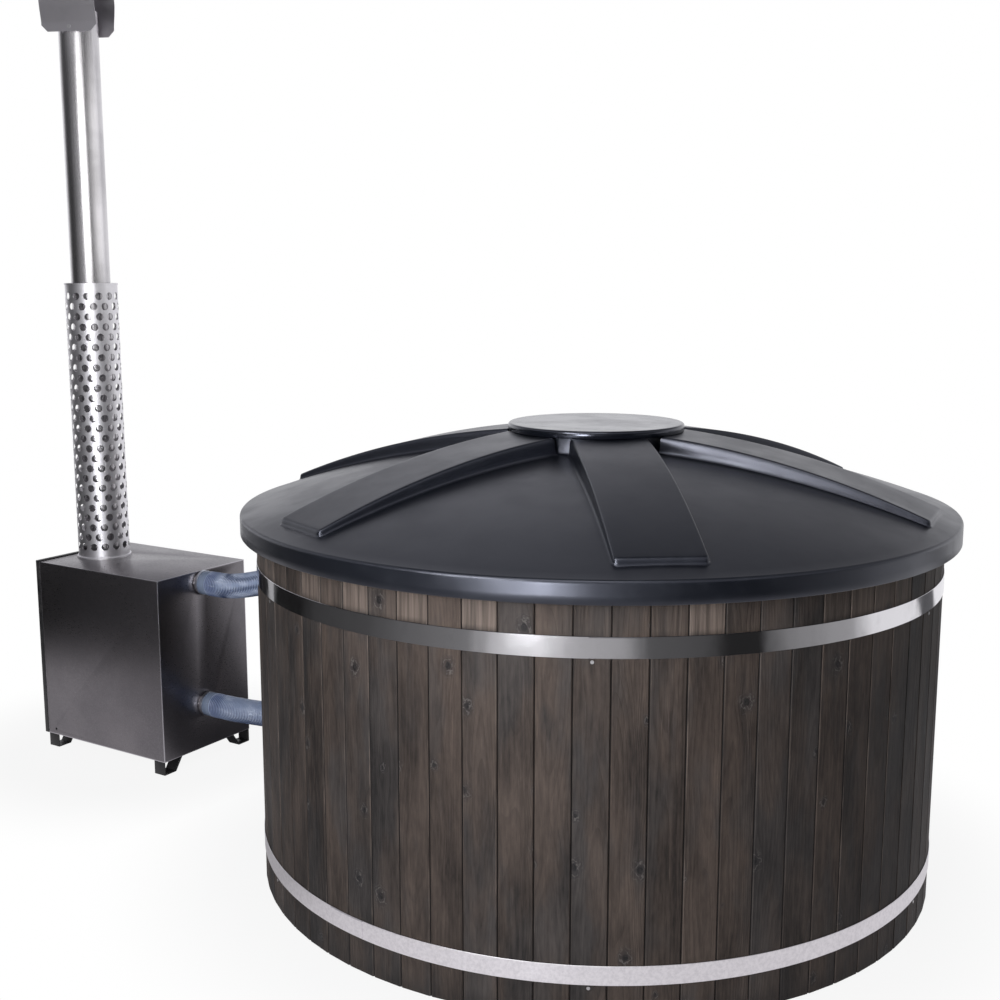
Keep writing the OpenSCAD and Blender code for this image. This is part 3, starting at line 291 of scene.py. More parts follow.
def stave_wood():
    m = BoardMat("stained_wood", rough=0.5, Specular_IOR_Level=0.15)
    core, halo, eye, torn, bent = knots(m)
    late = growth_rings(m, bent)
    streak = m.grain(bent, 120.0, 3.6)
    fine = m.grain(bent, 620.0, 11.0, 0.0, 4.0)
    tone = stain_tone(m, late, streak, fine)
    brown = m.mix(tone, (0.0160, 0.0128, 0.0116), (0.077, 0.0585, 0.0490))
    grey_stain = m.mix(tone, (0.0138, 0.0125, 0.0124), (0.055, 0.0480, 0.0455))
    # the stain is greyer in patches, and on some boards all over
    patches = m.step(m.grain(m.u, 11.0, 3.1, 90.0, 3.0, 0.55), 0.42, 0.66)
    color = m.mix(m.plus(patches, m.times(m.minus(m.chances[1], 0.5), 0.8), clamp=True), brown, grey_stain)
    # the upper ends, above the band, took less stain
    bare = m.mix(m.step(streak, 0.3, 0.7), (0.070, 0.055, 0.047), (0.165, 0.130, 0.110))
    top = m.times(m.step(m.z, 0.852, 0.872), m.step(m.chances[0], 0.15, 0.95, 0.02, 0.85))
    color = m.mix(top, color, bare)
    # knots: a soft halo, pale broken rings and a dark core
    color = m.mix(m.times(halo, 0.50), color, (0.019, 0.0185, 0.020))
    color = m.mix(m.times(eye, 0.55), color, (0.125, 0.112, 0.106))
    color = m.mix(m.times(core, m.step(torn, 0.30, 0.55, 0.45, 0.85)), color, (0.0085, 0.0080, 0.0090))
    # lighter corners, partly wear and partly painted highlight, stain pooled in the joints, and a darker foot
    edge = m.math("ABSOLUTE", m.across)
    wear_and_highlight = m.grain(m.u, 0.0, 7.0)
    corner = m.times(m.step(edge, 0.450, 0.464), m.step(edge, 0.484, 0.472))
    corner = m.times(corner, m.step(m.chances[0], 0.25, 0.95, 0.25, 1.0))
    color = m.mix(m.times(corner, m.step(wear_and_highlight, 0.38, 0.64, 0.0, 0.60)), color, (0.150, 0.122, 0.106))
    color = m.mix(m.times(m.step(edge, 0.474, 0.486), 0.85), color, (0.0075, 0.0065, 0.0065))
    color = m.mix(m.times(m.step(m.z, 0.060, 0.006), 0.45), color, (0.013, 0.012, 0.012))
    m.base(color)
    m.rough(m.plus(m.step(fine, 0.2, 0.8, 0.50, 0.66), m.times(core, -0.10)))
    height = m.plus(m.times(late, 0.6), m.times(fine, 0.9))
    height = m.plus(height, m.plus(m.times(streak, 1.2), m.times(eye, 0.7)))
    m.normal(m.bump(height, 0.60, 0.0008))
    return m.material


def plain_wood():
    """Bare boards of 125 mm, under the tub."""
    m = Mat("plain_wood", rough=0.65)
    rings = m.math("FRACT", m.times(m.streaks(22.0, 2.2, 22.0, 5.0, 0.6), 11.0))
    color = m.mix(m.step(rings, 0.2, 1.0), (0.46, 0.31, 0.17), (0.33, 0.20, 0.10))
    board = m.math("FRACT", m.times(m.plus(m.xyz()[0], 1.0), 8.0))
    seam = m.step(m.math("ABSOLUTE", m.minus(board, 0.5)), 0.485, 0.495)
    m.base(m.mix(m.times(seam, 0.8), color, (0.05, 0.03, 0.02)))
    m.normal(m.bump(rings, 0.25, 0.0006))
    return m.material


# ---- Moulded black plastic of the lid ----
def lid_plastic(name, rough):
    m = Mat(name, rough=rough, Specular_IOR_Level=1.0, Specular_Tint=(0.81, 0.84, 1.0, 1))
    c = m.coord()
    grain = m.noise(c, 900.0, 2.0, 0.5)
    waves = m.noise(c, 7.0, 3.0, 0.55)
    dust = m.noise(c, 26.0, 6.0, 0.65)
    m.base(m.mix(m.step(dust, 0.45, 0.75), (0.0020, 0.0027, 0.0046), (0.0050, 0.0060, 0.0082)))
    m.rough(m.plus(m.step(waves, 0.3, 0.7, rough - 0.03, rough + 0.04), m.step(dust, 0.5, 0.8, 0.0, 0.05)))
    m.normal(m.bump(grain, 0.08, 0.0004, m.bump(waves, 0.08, 0.006)))
    return m.material


def tub_plastic():
    m = Mat("tub_plastic", color=(0.62, 0.68, 0.72), rough=0.22, Coat_Weight=0.4, Coat_Roughness=0.1)
    c = m.coord()
    speck = m.noise(c, 160.0, 3.0, 0.6)
    wave = m.noise(c, 6.0, 2.0, 0.5)
    m.base(m.mix(m.step(speck, 0.55, 0.75), (0.60, 0.66, 0.70), (0.52, 0.58, 0.62)))
    m.rough(m.step(wave, 0.3, 0.7, 0.18, 0.27))
    m.normal(m.bump(wave, 0.05, 0.004))
    return m.material


def foam():
    m = Mat("foam", rough=0.95)
    c = m.coord()
    cells = m.node("TexVoronoi", 0, {"Vector": c, "Scale": 220.0})
    m.base(m.mix(cells, (0.70, 0.66, 0.56), (0.82, 0.79, 0.70)))
    m.normal(m.bump(cells, 0.4, 0.001))
    return m.material


# ---- Metals ----
def band_steel():
    """Steel strip: the upper band is polished, with faint lines and dents, and the lower one is dull."""
    m = Mat("band_steel", color=(0.80, 0.785, 0.80), metal=1.0, rough=0.12)
    x, y, z = m.xyz()
    a = m.math("ARCTAN2", y, x)
    lines = m.noise(m.vec(m.times(a, 3.0), m.times(z, 900.0), 0.0), 1.0, 3.0, 0.6)
    smear = m.noise(m.coord(), 12.0, 4.0, 0.6)
    dents = m.noise(m.vec(m.times(a, 11.0), m.times(z, 9.0), 4.0), 1.0, 2.0, 0.5)
    spangle = m.noise(m.coord(), 110.0, 4.0, 0.7)
    low = m.step(z, 0.3, 0.6, 1.0, 0.0)
    polished = m.mix(m.step(smear, 0.5, 0.8), (0.80, 0.785, 0.80), (0.70, 0.685, 0.70))
    dull = m.mix(m.step(spangle, 0.34, 0.70), (0.85, 0.825, 0.85), (0.72, 0.70, 0.725))
    m.base(m.mix(low, polished, dull))
    rough = m.plus(m.step(smear, 0.4, 0.8, 0.055, 0.14), m.times(low, 0.26))
    m.rough(m.plus(rough, m.step(lines, 0.3, 0.8, 0.0, 0.05)))
    m.normal(m.bump(lines, 0.08, 0.0002, m.bump(dents, 0.16, 0.004)))
    return m.material


def brushed(name, color, rough, along="z", scale=1.0, blotch=0.12, bump=0.12):
    """Sheet steel with brushing along one axis and soft blotches."""
    m = Mat(name, color=color, metal=1.0, rough=rough)
    factors = [(7.0 if axis == along else 900.0) * scale for axis in "xyz"]
    lines = m.streaks(*factors, 3.0, 0.65)
    cloud = m.noise(m.coord(), 5.0, 4.0, 0.6)
    m.base(m.mix(m.step(cloud, 0.35, 0.7), color, tinted(1 - 2 * blotch, color)))
    fine = m.step(lines, 0.25, 0.75, rough - 0.05, rough + 0.06)
    m.rough(m.plus(fine, m.step(cloud, 0.4, 0.8, 0.0, 0.06)))
    m.normal(m.bump(lines, bump, 0.0003))
    return m.material


def casing_steel():
    """Dark stainless sheet with a fine mottled brushing, as on the heater's casing, with a painted highlight
    along its folds.
    """
    base = (0.235, 0.220, 0.232)
    m = Mat("casing_steel", color=base, metal=1.0, rough=0.33)
    x, y, z = m.xyz()
    short = m.streaks(130.0, 130.0, 420.0, 4.0, 0.7)
    mottle = m.noise(m.coord(), 240.0, 2.0, 0.55)
    cloud = m.noise(m.coord(), 3.4, 4.0, 0.6)
    color = m.mix(m.step(cloud, 0.3, 0.72), base, (0.175, 0.166, 0.178))
    color = m.mix(m.times(m.step(mottle, 0.4, 0.7), 0.25), color, (0.30, 0.285, 0.30))
    # the folds get a painted highlight: places close to two of the box's faces at once
    half = HEATER_W / 2
    sides = ((x, CASING_X, BACK_X), (y, HOSE_Y - half, HOSE_Y + half), (z, FOOT_H, HEATER_TOP))
    away = [m.math("MINIMUM", m.math("ABSOLUTE", m.minus(v, low)), m.math("ABSOLUTE", m.minus(v, high)))
            for v, low, high in sides]
    fold_highlight_dist = m.math("MAXIMUM", m.math("MINIMUM", away[0], away[1]),
                  m.math("MINIMUM", m.math("MAXIMUM", away[0], away[1]), away[2]))
    m.base(m.mix(m.times(m.step(fold_highlight_dist, 0.0040, 0.0012), 0.75), color, (0.66, 0.64, 0.68)))
    m.rough(m.plus(m.step(short, 0.3, 0.75, 0.26, 0.38), m.step(cloud, 0.4, 0.8, 0.0, 0.05)))
    m.normal(m.bump(mottle, 0.10, 0.0006, m.bump(short, 0.14, 0.0004)))
    return m.material


def black_steel():
    m = Mat("black_steel", color=(0.012, 0.012, 0.013), rough=0.42)
    c = m.coord()
    peel = m.noise(c, 500.0, 3.0, 0.6)
    cloud = m.noise(c, 18.0, 4.0, 0.6)
    m.base(m.mix(m.step(cloud, 0.45, 0.8), (0.0105, 0.0105, 0.0115), (0.030, 0.0285, 0.028)))
    m.rough(m.step(cloud, 0.3, 0.8, 0.36, 0.56))
    m.normal(m.bump(peel, 0.22, 0.0005))
    return m.material


def plate_steel():
    m = Mat("plate_steel", color=(0.09, 0.088, 0.088), metal=0.85, rough=0.55)
    c = m.coord()
    scale = m.noise(c, 28.0, 6.0, 0.65)
    soot = m.noise(c, 6.0, 4.0, 0.6)
    col = m.mix(m.step(scale, 0.35, 0.7), (0.11, 0.105, 0.105), (0.060, 0.055, 0.052))
    m.base(m.mix(m.step(soot, 0.5, 0.75), col, (0.020, 0.019, 0.019)))
    m.rough(m.step(scale, 0.3, 0.7, 0.45, 0.7))
    m.normal(m.bump(scale, 0.3, 0.0010))
    return m.material


def grate_iron():
    m = Mat("grate_iron", color=(0.035, 0.033, 0.032), metal=0.7, rough=0.75)
    c = m.coord()
    sand = m.noise(c, 420.0, 4.0, 0.7)
    ash = m.noise(c, 24.0, 5.0, 0.6)
    m.base(m.mix(m.step(ash, 0.5, 0.8), (0.035, 0.033, 0.032), (0.16, 0.15, 0.14)))
    m.normal(m.bump(sand, 0.5, 0.0010))
    return m.material


# ---- Hoses, fittings, rubber, brass ----
def hose_plastic():
    """Clear bluish hose: smooth cuffs over the pipe, then ribs with a painted highlight on top and painted
    shade between.
    """
    m = Mat("hose_plastic", color=(0.20, 0.26, 0.40), rough=0.20, IOR=1.46, Transmission_Weight=0.22)
    x = m.xyz()[0]
    along = m.minus(x, HOSE_FIRST_RIB)
    turn = m.math("FRACT", m.plus(m.math("DIVIDE", along, HOSE_PITCH), 10.0))
    groove = m.step(m.math("ABSOLUTE", m.minus(turn, 0.515)), 0.22, 0.42)
    end = HOSE_END - HOSE_PLAIN
    ribbed = m.times(m.step(along, -0.002, 0.002), m.step(x, end - 0.001, end - 0.005))
    milk = m.streaks(14.0, 40.0, 40.0, 3.0, 0.55)
    # pale crests: the plastic's milky tone under a painted highlight; the grooves between get painted shade
    crest = m.mix(m.step(milk, 0.35, 0.7), (0.29, 0.35, 0.50), (0.47, 0.53, 0.68))
    # past the pipe's end there is only water behind the wall: painted shade darkens the first ribs there
    deep = m.times(m.step(along, 0.0, 0.010), m.step(along, 0.075, 0.030))
    crest = m.mix(m.times(deep, 0.55), crest, (0.085, 0.125, 0.27))
    valley_shade = m.mix(deep, (0.055, 0.078, 0.15), (0.014, 0.025, 0.085))
    lip = m.step(x, HOSE_START + 0.0045, HOSE_START + 0.0025)
    cuff = m.mix(lip, (0.20, 0.245, 0.34), (0.55, 0.57, 0.68))
    m.base(m.mix(ribbed, cuff, m.mix(groove, crest, valley_shade)))
    m.rough(m.step(milk, 0.3, 0.7, 0.14, 0.28))
    m.normal(m.bump(m.noise(m.coord(), 420.0, 2.0, 0.5), 0.06, 0.0003))
    return m.material


def fitting_plastic():
    m = Mat("fitting_plastic", color=(0.62, 0.63, 0.66), rough=0.32)
    c = m.coord()
    n = m.noise(c, 60.0, 4.0, 0.6)
    m.base(m.mix(m.step(n, 0.4, 0.75), (0.60, 0.61, 0.64), (0.50, 0.51, 0.54)))
    m.rough(m.step(n, 0.3, 0.7, 0.26, 0.40))
    m.normal(m.bump(m.noise(c, 700.0, 2.0), 0.10, 0.0003))
    return m.material


def rubber():
    m = Mat("gasket_rubber", color=(0.018, 0.018, 0.019), rough=0.75)
    c = m.coord()
    n = m.noise(c, 300.0, 4.0, 0.6)
    m.base(m.mix(n, (0.014, 0.014, 0.015), (0.030, 0.030, 0.031)))
    m.normal(m.bump(n, 0.25, 0.0005))
    return m.material


def brass():
    m = Mat("valve_brass", color=(0.62, 0.44, 0.17), metal=1.0, rough=0.34)
    c = m.coord()
    n = m.noise(c, 45.0, 5.0, 0.65)
    m.base(m.mix(m.step(n, 0.45, 0.8), (0.64, 0.46, 0.18), (0.33, 0.22, 0.09)))
    m.rough(m.step(n, 0.3, 0.7, 0.26, 0.46))
    m.normal(m.bump(m.noise(c, 260.0, 3.0), 0.2, 0.0006))
    return m.material


MATS = {
    "stained_wood": stave_wood(),
    "plain_wood": plain_wood(),
    "tub_plastic": tub_plastic(),
    "lid_plastic": lid_plastic("lid_plastic", 0.33),
    "foam": foam(),
    "band_steel": band_steel(),
    "casing_steel": casing_steel(),
    "stainless": brushed("stainless", (0.60, 0.585, 0.60), 0.24),
    "black_steel": black_steel(),
    "plate_steel": plate_steel(),
    "grate_iron": grate_iron(),
    "fastener_steel": brushed("fastener_steel", (0.52, 0.51, 0.52), 0.30, "x", 0.6),
    "hose_plastic": hose_plastic(),
    "fitting_plastic": fitting_plastic(),
    "gasket_rubber": rubber(),
    "valve_brass": brass(),
}
CAP_PLASTIC = lid_plastic("cap_plastic", 0.19)
SHIELD_STEEL = brushed("shield_steel", (0.82, 0.805, 0.83), 0.39, "z", 0.7, 0.06, 0.10)
CLAMP_STEEL = brushed("clamp_steel", (0.78, 0.81, 0.88), 0.38, "x", 0.6)
RAIN_STEEL = brushed("rain_steel", (0.43, 0.415, 0.44), 0.36, "x", 0.5, 0.10, 0.10)
OWN_STEEL = {"heat_shield": SHIELD_STEEL, "shield_rings": SHIELD_STEEL, "hose_clamps": CLAMP_STEEL}

# each CAD node takes the material of its slot, apart from three with steel of their own
slots = {part["node"]: part["material_slot"] for part in frame["record"]["subparts"]}
for name, obj in nodes.items():
    obj.data.materials.clear()
    obj.data.materials.append(OWN_STEEL.get(name, MATS[slots[name]]))


# ---- Mesh helpers ----
ORIGIN, UP = (0, 0, 0), (0, 0, 1)


def add(name, bm, material, body, replaces=(), sharp=40):
    """Turns a finished bmesh into a piece of the object."""
    bmesh.ops.remove_doubles(bm, verts=bm.verts, dist=1e-6)
    bmesh.ops.recalc_face_normals(bm, faces=bm.faces)
    mesh = bpy.data.meshes.new(name)
    bm.to_mesh(mesh)
    bm.free()
    mesh.shade_smooth()
    mesh.set_sharp_from_angle(angle=math.radians(sharp))
    mesh.materials.append(material)
    obj = bpy.data.objects.new(name, mesh)
    bpy.context.collection.objects.link(obj)
    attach(obj, body)
    if replaces:
        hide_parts(*replaces)
    return obj


def wire(bm, points, closed=False):
    """A line through the points, ready to be spun or extruded."""
    verts = [bm.verts.new(p) for p in points]
    ends = verts[1:] + verts[:1] if closed else verts[1:]
    return verts + [bm.edges.new(pair) for pair in zip(verts, ends)]


def edges_of(geom):
    return [g for g in geom if isinstance(g, bmesh.types.BMEdge)]


def turned(bm, profile, steps, closed=False):
    """Spins a line of (radius, z) points once round the tub's axis."""
    line = wire(bm, [(r, 0, z) for r, z in profile], closed)
    bmesh.ops.spin(bm, geom=line, cent=ORIGIN, axis=UP, angle=2 * pi, steps=steps, use_merge=True)


def arc(x, y, r, a0, a1, n):
    """Points on a round from one angle to another, in degrees."""
    turns = [math.radians(a0 + (a1 - a0) * i / n) for i in range(n + 1)]
    return [(x + r * cos(a), y + r * sin(a)) for a in turns]


# ---- Lid: a smooth shell with soft-edged ribs ----
SKIRT_R, SKIRT_Z, RIDGE_Z, RIDGE_ROUND = 0.940, 0.932, 0.985, 0.009
RIDGE_R = SKIRT_R - RIDGE_ROUND
RISE = 0.163
DOME_ARC = (RIDGE_R ** 2 + RISE ** 2) / (2 * RISE)
DOME_MID = RIDGE_Z + RISE
HUB_R, HUB_STEP = 0.222, 0.001
RIBS = 6
RIB_START, RIB_END, RIB_STEP, RIB_ARC, RIB_HALF = 0.205, 0.880, 0.013, 2.300, 0.100
RIB_ANGLE = math.radians(-52.9)
FOOT_SINK = 0.0004                         # the foot of a rib sits a little in the dome
SHELL_T = 0.005
CAP_R, CAP_T = 0.234, 0.020


def dome_z(r):
    """Height of the dome at a distance from the middle."""
    return DOME_MID - DOME_ARC + sqrt(DOME_ARC ** 2 - r * r)


RIB_MID = dome_z(RIB_END) + RIB_STEP + RIB_ARC - sqrt(RIB_ARC ** 2 - RIB_END ** 2)


def rib_z(s):
    """Height of a rib's top at a distance from the middle."""
    return RIB_MID - RIB_ARC + sqrt(RIB_ARC ** 2 - s * s)


HUB_TOP = rib_z(HUB_R) + HUB_STEP


def rib(bm):
    """One rib, drawn flat with its sides as shares of its height, then laid over the dome."""
    flare, corner = 0.0070, 0.0175                          # how far the foot stands out, and its corners
    length, half = (RIB_END + flare - RIB_START) / 2, RIB_HALF + flare
    bmesh.ops.create_grid(bm, x_segments=26, y_segments=8, size=1.0)
    bmesh.ops.scale(bm, vec=(length, half, 1), verts=bm.verts)
    bmesh.ops.translate(bm, vec=(RIB_START + length, 0, 0), verts=bm.verts)
    outer = [v for v in bm.verts if v.co.x > RIB_END and abs(v.co.y) > RIB_HALF]
    bmesh.ops.bevel(bm, geom=outer, offset=corner, offset_type="OFFSET", affect="VERTICES", segments=6,
                    profile=0.5, material=-1, clamp_overlap=True)
    # the soft foot, the side's draft and the rounded upper edge: (inwards, share of the height)
    sides = [(0.0028, 0.045), (0.0020, 0.055), (0.0012, 0.10), (0.0007, 0.23), (0.0008, 0.30),
             (0.0011, 0.165), (0.0018, 0.09), (0.0024, 0.037), (0.0027, 0.008)]
    top = list(bm.faces)
    for inwards, up in sides:
        bmesh.ops.inset_region(bm, faces=top, thickness=inwards, use_boundary=True, use_even_offset=True)
        bmesh.ops.translate(bm, vec=(0, 0, up), verts=list({v for f in top for v in f.verts}))
    for v in bm.verts:
        s, w, share = v.co
        low = dome_z(min(sqrt(s * s + w * w), RIDGE_R)) - FOOT_SINK
        v.co.z = low + (rib_z(s) - low) * share
    bmesh.ops.rotate(bm, cent=ORIGIN, matrix=Matrix.Rotation(RIB_ANGLE, 3, "Z"), verts=bm.verts)


def lid():
    bm = bmesh.new()
    rib(bm)
    bmesh.ops.spin(bm, geom=bm.verts[:] + bm.edges[:] + bm.faces[:], cent=ORIGIN, axis=UP,
                   angle=2 * pi * (RIBS - 1) / RIBS, steps=RIBS - 1, use_duplicate=True)
    lip = SKIRT_R - SHELL_T
    shell = [(lip, SKIRT_Z + 0.002), (SKIRT_R - 0.0035, SKIRT_Z), (SKIRT_R - 0.001, SKIRT_Z + 0.0002),
             (SKIRT_R, SKIRT_Z + 0.0015), (SKIRT_R, SKIRT_Z + 0.02),
             (SKIRT_R, RIDGE_Z - RIDGE_ROUND - 0.004)]
    shell += arc(RIDGE_R, RIDGE_Z - RIDGE_ROUND, RIDGE_ROUND, 0, 78, 10)
    edge, foot = RIDGE_R - 0.003, HUB_R + 0.010
    shell += [(r, dome_z(r)) for r in [edge + (foot - edge) * i / 36 for i in range(37)]]
    # the hub's soft foot, its side and top, then back along the inside of the shell
    hub_foot = ((0.0035, 0.0008), (0.0012, 0.003), (0, 0.007))
    shell += [(HUB_R + out, dome_z(HUB_R + out) + up) for out, up in hub_foot]
    shell += [(HUB_R, HUB_TOP), (0.0, HUB_TOP), (0.0, dome_z(0) - SHELL_T)]
    shell += [(0.1 * i, dome_z(0.1 * i) - SHELL_T) for i in range(1, 10)]
    shell += [(lip - 0.001, RIDGE_Z - 0.014)]
    turned(bm, shell, 288, closed=True)
    return add("lid_moulding", bm, MATS["lid_plastic"], "lid", ["lid_shell", "lid_skirt"],
               sharp=50)


def cap():
    bm = bmesh.new()
    top, edge = HUB_TOP + CAP_T, 0.0065
    disc = [(0.0, HUB_TOP), (CAP_R - 0.004, HUB_TOP), (CAP_R - 0.0012, HUB_TOP + 0.0008),
            (CAP_R, HUB_TOP + 0.003)]
    disc += arc(CAP_R - edge, top - edge, edge, 0, 84, 8)
    # the top is dished by a millimetre
    disc += [(CAP_R - 0.012, top - 0.0001), (CAP_R * 0.6, top - 0.0004), (CAP_R * 0.3, top - 0.0008),
             (0.0, top - 0.0010)]
    turned(bm, disc, 192)
    return add("lid_centre_disc", bm, CAP_PLASTIC, "lid", ["lid_cap"])


lid()
cap()


# ---- Steel bands: thin strip with rolled edges, one lap, and the closure's lugs at the back ----
BAND_IN, BAND_T = TUB_R + 0.0001, 0.0015
BAND_DIP = 0.00022                         # how far the strip sinks between two corners of the boards
LAP_L = 0.11
LUG_ANGLE = math.radians(120)
LUG_GAP = 0.030
LUG_OUT, LUG_T, LUG_TALL = 0.0255, 0.003, 0.036
LUG_MID = 0.0128                           # from the strip's inside to the lug's middle


def strip(bm, r_in, thick, z0, width, start, angle, steps):
    """A length of flat strip, bent round the tub and closed at its two ends."""
    soft = 0.0006
    r_out, z1 = r_in + thick, z0 + width
    section = [(r_in, z0 + soft), (r_in + soft, z0), (r_out - soft, z0), (r_out, z0 + soft)]
    section += [(r_out, z0 + width * k / 4) for k in range(1, 4)]
    section += [(r_out, z1 - soft), (r_out - soft, z1), (r_in + soft, z1), (r_in, z1 - soft)]
    line = wire(bm, [(r * cos(start), r * sin(start), z) for r, z in section], closed=True)
    end = bmesh.ops.spin(bm, geom=line, cent=ORIGIN, axis=UP, angle=angle, steps=steps)["geom_last"]
    for outline in (line, end):
        bmesh.ops.contextual_create(bm, geom=edges_of(outline))


def lug(bm, side, z_mid):
    """One of the closure's two lugs, folded out from the strip, with its outer corners rounded."""
    verts = bmesh.ops.create_cube(bm, size=1.0)["verts"]
    bmesh.ops.scale(bm, vec=(LUG_OUT, LUG_T, LUG_TALL), verts=verts)
    tips = [e for e in bm.edges if e.verts[0] in verts and e.verts[1] in verts
            and min(v.co.x for v in e.verts) > 0.012 and abs(e.verts[0].co.y - e.verts[1].co.y) > 0.001]
    rounded = bmesh.ops.bevel(bm, geom=tips, offset=0.009, offset_type="OFFSET", affect="EDGES", segments=4,
                              profile=0.5, material=-1)
    verts = list({v for v in verts if v.is_valid} | set(rounded["verts"]))
    bmesh.ops.translate(bm, vec=(BAND_IN + LUG_MID, side * (LUG_GAP + LUG_T) / 2, z_mid), verts=verts)
    bmesh.ops.rotate(bm, cent=ORIGIN, matrix=Matrix.Rotation(LUG_ANGLE, 3, "Z"), verts=verts)


def band(name, node, z0, width, lap_angle):
    bm = bmesh.new()
    half_gap = LUG_GAP / 2 / TUB_R
    strip(bm, BAND_IN, BAND_T, z0, width, LUG_ANGLE + half_gap, 2 * (pi - half_gap), 6 * STAVES)
    for v in bm.verts:
        # the strip is pulled over flat-faced boards, so it waves a little
        phase = ((math.atan2(v.co.y, v.co.x) - JOINT) / STAVE_STEP) % 1.0
        dip = 1 - BAND_DIP / TUB_R * sin(pi * phase) ** 2
        v.co.x *= dip
        v.co.y *= dip
    # a second layer, where the two lengths of strip lap
    inset = 0.0012
    strip(bm, BAND_IN + BAND_T - 0.0004, 0.0016, z0 + inset, width - 2 * inset, lap_angle, LAP_L / TUB_R, 24)
    for side in (-1, 1):
        lug(bm, side, z0 + width / 2)
    return add(name, bm, MATS["band_steel"], "tub", [node], sharp=30)


band("upper_band", "hoop_upper", 0.810, 0.047, math.radians(-62.5))
band("lower_band", "hoop_lower", 0.0865, 0.045, math.radians(-104.0))


# ---- Ribbed hoses ----
def hose_z(x, rise):
    """Height of the hose over its start: level in both cuffs, and a soft bend between them."""
    v = min(1.0, max(0.0, (x - HOSE_START - HOSE_CUFF) / (HOSE_L - 2 * HOSE_CUFF)))
    return rise * v * v * (3 - 2 * v)


def hose(name, node, z0, rise):
    bm = bmesh.new()
    root, crest, plain, bore, soft = 0.0368, 0.0399, 0.0389, 0.0355, 0.0008
    one_rib = ((0.06, root), (0.20, root + 0.0006), (0.32, crest - 0.0009), (0.45, crest), (0.58, crest),
               (0.71, crest - 0.0009), (0.83, root + 0.0006))
    last_rib = HOSE_FIRST_RIB + HOSE_RIBS * HOSE_PITCH
    line = [(HOSE_START, plain - soft), (HOSE_START + soft, plain), (HOSE_FIRST_RIB - 0.001, plain)]
    line += [(HOSE_FIRST_RIB + (i + share) * HOSE_PITCH, r) for i in range(HOSE_RIBS) for share, r in one_rib]
    line += [(last_rib + 0.001, plain), (HOSE_END - soft, plain), (HOSE_END, plain - soft)]
    line += [(HOSE_START + HOSE_L * i / 40, bore) for i in range(40, -1, -1)]
    geom = wire(bm, [(x, HOSE_Y + r, z0) for x, r in line], closed=True)
    bmesh.ops.spin(bm, geom=geom, cent=(0, HOSE_Y, z0), axis=(1, 0, 0), angle=2 * pi, steps=40,
                   use_merge=True)
    for v in bm.verts:
        x, off = v.co.x, v.co.z - z0
        tilt = math.atan((hose_z(x + 0.0005, rise) - hose_z(x - 0.0005, rise)) / 0.001)
        v.co.x = x - off * sin(tilt)
        v.co.z = z0 + hose_z(x, rise) + off * cos(tilt)
    return add(name, bm, MATS["hose_plastic"], "tub", [node], sharp=60)


hose("upper_hose", "hose_upper", z0=0.600, rise=0.055)
hose("lower_hose", "hose_lower", z0=0.190, rise=0.015)


# ---- Folded sheet parts: the CAD shape with its edges eased ----
FOLD = 35                                  # degrees from which an edge counts as sharp


def eased(name, node, body, width, segments=2):
    """A copy of a CAD node with its sharp edges rounded, as folded or ground metal has."""
    bm = bmesh.new()
    bm.from_mesh(nodes[node].data)
    bmesh.ops.remove_doubles(bm, verts=bm.verts, dist=1e-6)
    bmesh.ops.dissolve_limit(bm, angle_limit=math.radians(1.0), verts=bm.verts, edges=bm.edges)
    edges = [e for e in bm.edges if len(e.link_faces) == 2 and e.calc_face_angle(0) > math.radians(FOLD)]
    bmesh.ops.bevel(bm, geom=edges, offset=width, offset_type="OFFSET", affect="EDGES", segments=segments,
                    profile=0.5, material=-1, clamp_overlap=True)
    return add(name, bm, MATS[slots[node]], body, [node], sharp=FOLD)


eased("folded_casing", "heater_casing", "tub", 0.0016, 3)
eased("black_front", "front_plate", "tub", 0.0010)
eased("bent_feet", "heater_feet", "tub", 0.0012)
eased("door_leaf", "firebox_door", "firebox_door", 0.0008)
eased("drawer_box", "ash_drawer", "ash_drawer", 0.0006)


# ---- Rain cap: one bent sheet ----
FLUE_R = 0.0625
RAIN_R, RAIN_L, RAIN_T, RAIN_TURN = 0.076, 0.186, 0.0015, math.radians(23)
RAIN_LOW, RAIN_MID = 2.350, 2.450
RAIN_CLIP = 0.020                          # cut off the lower corners of both flaps


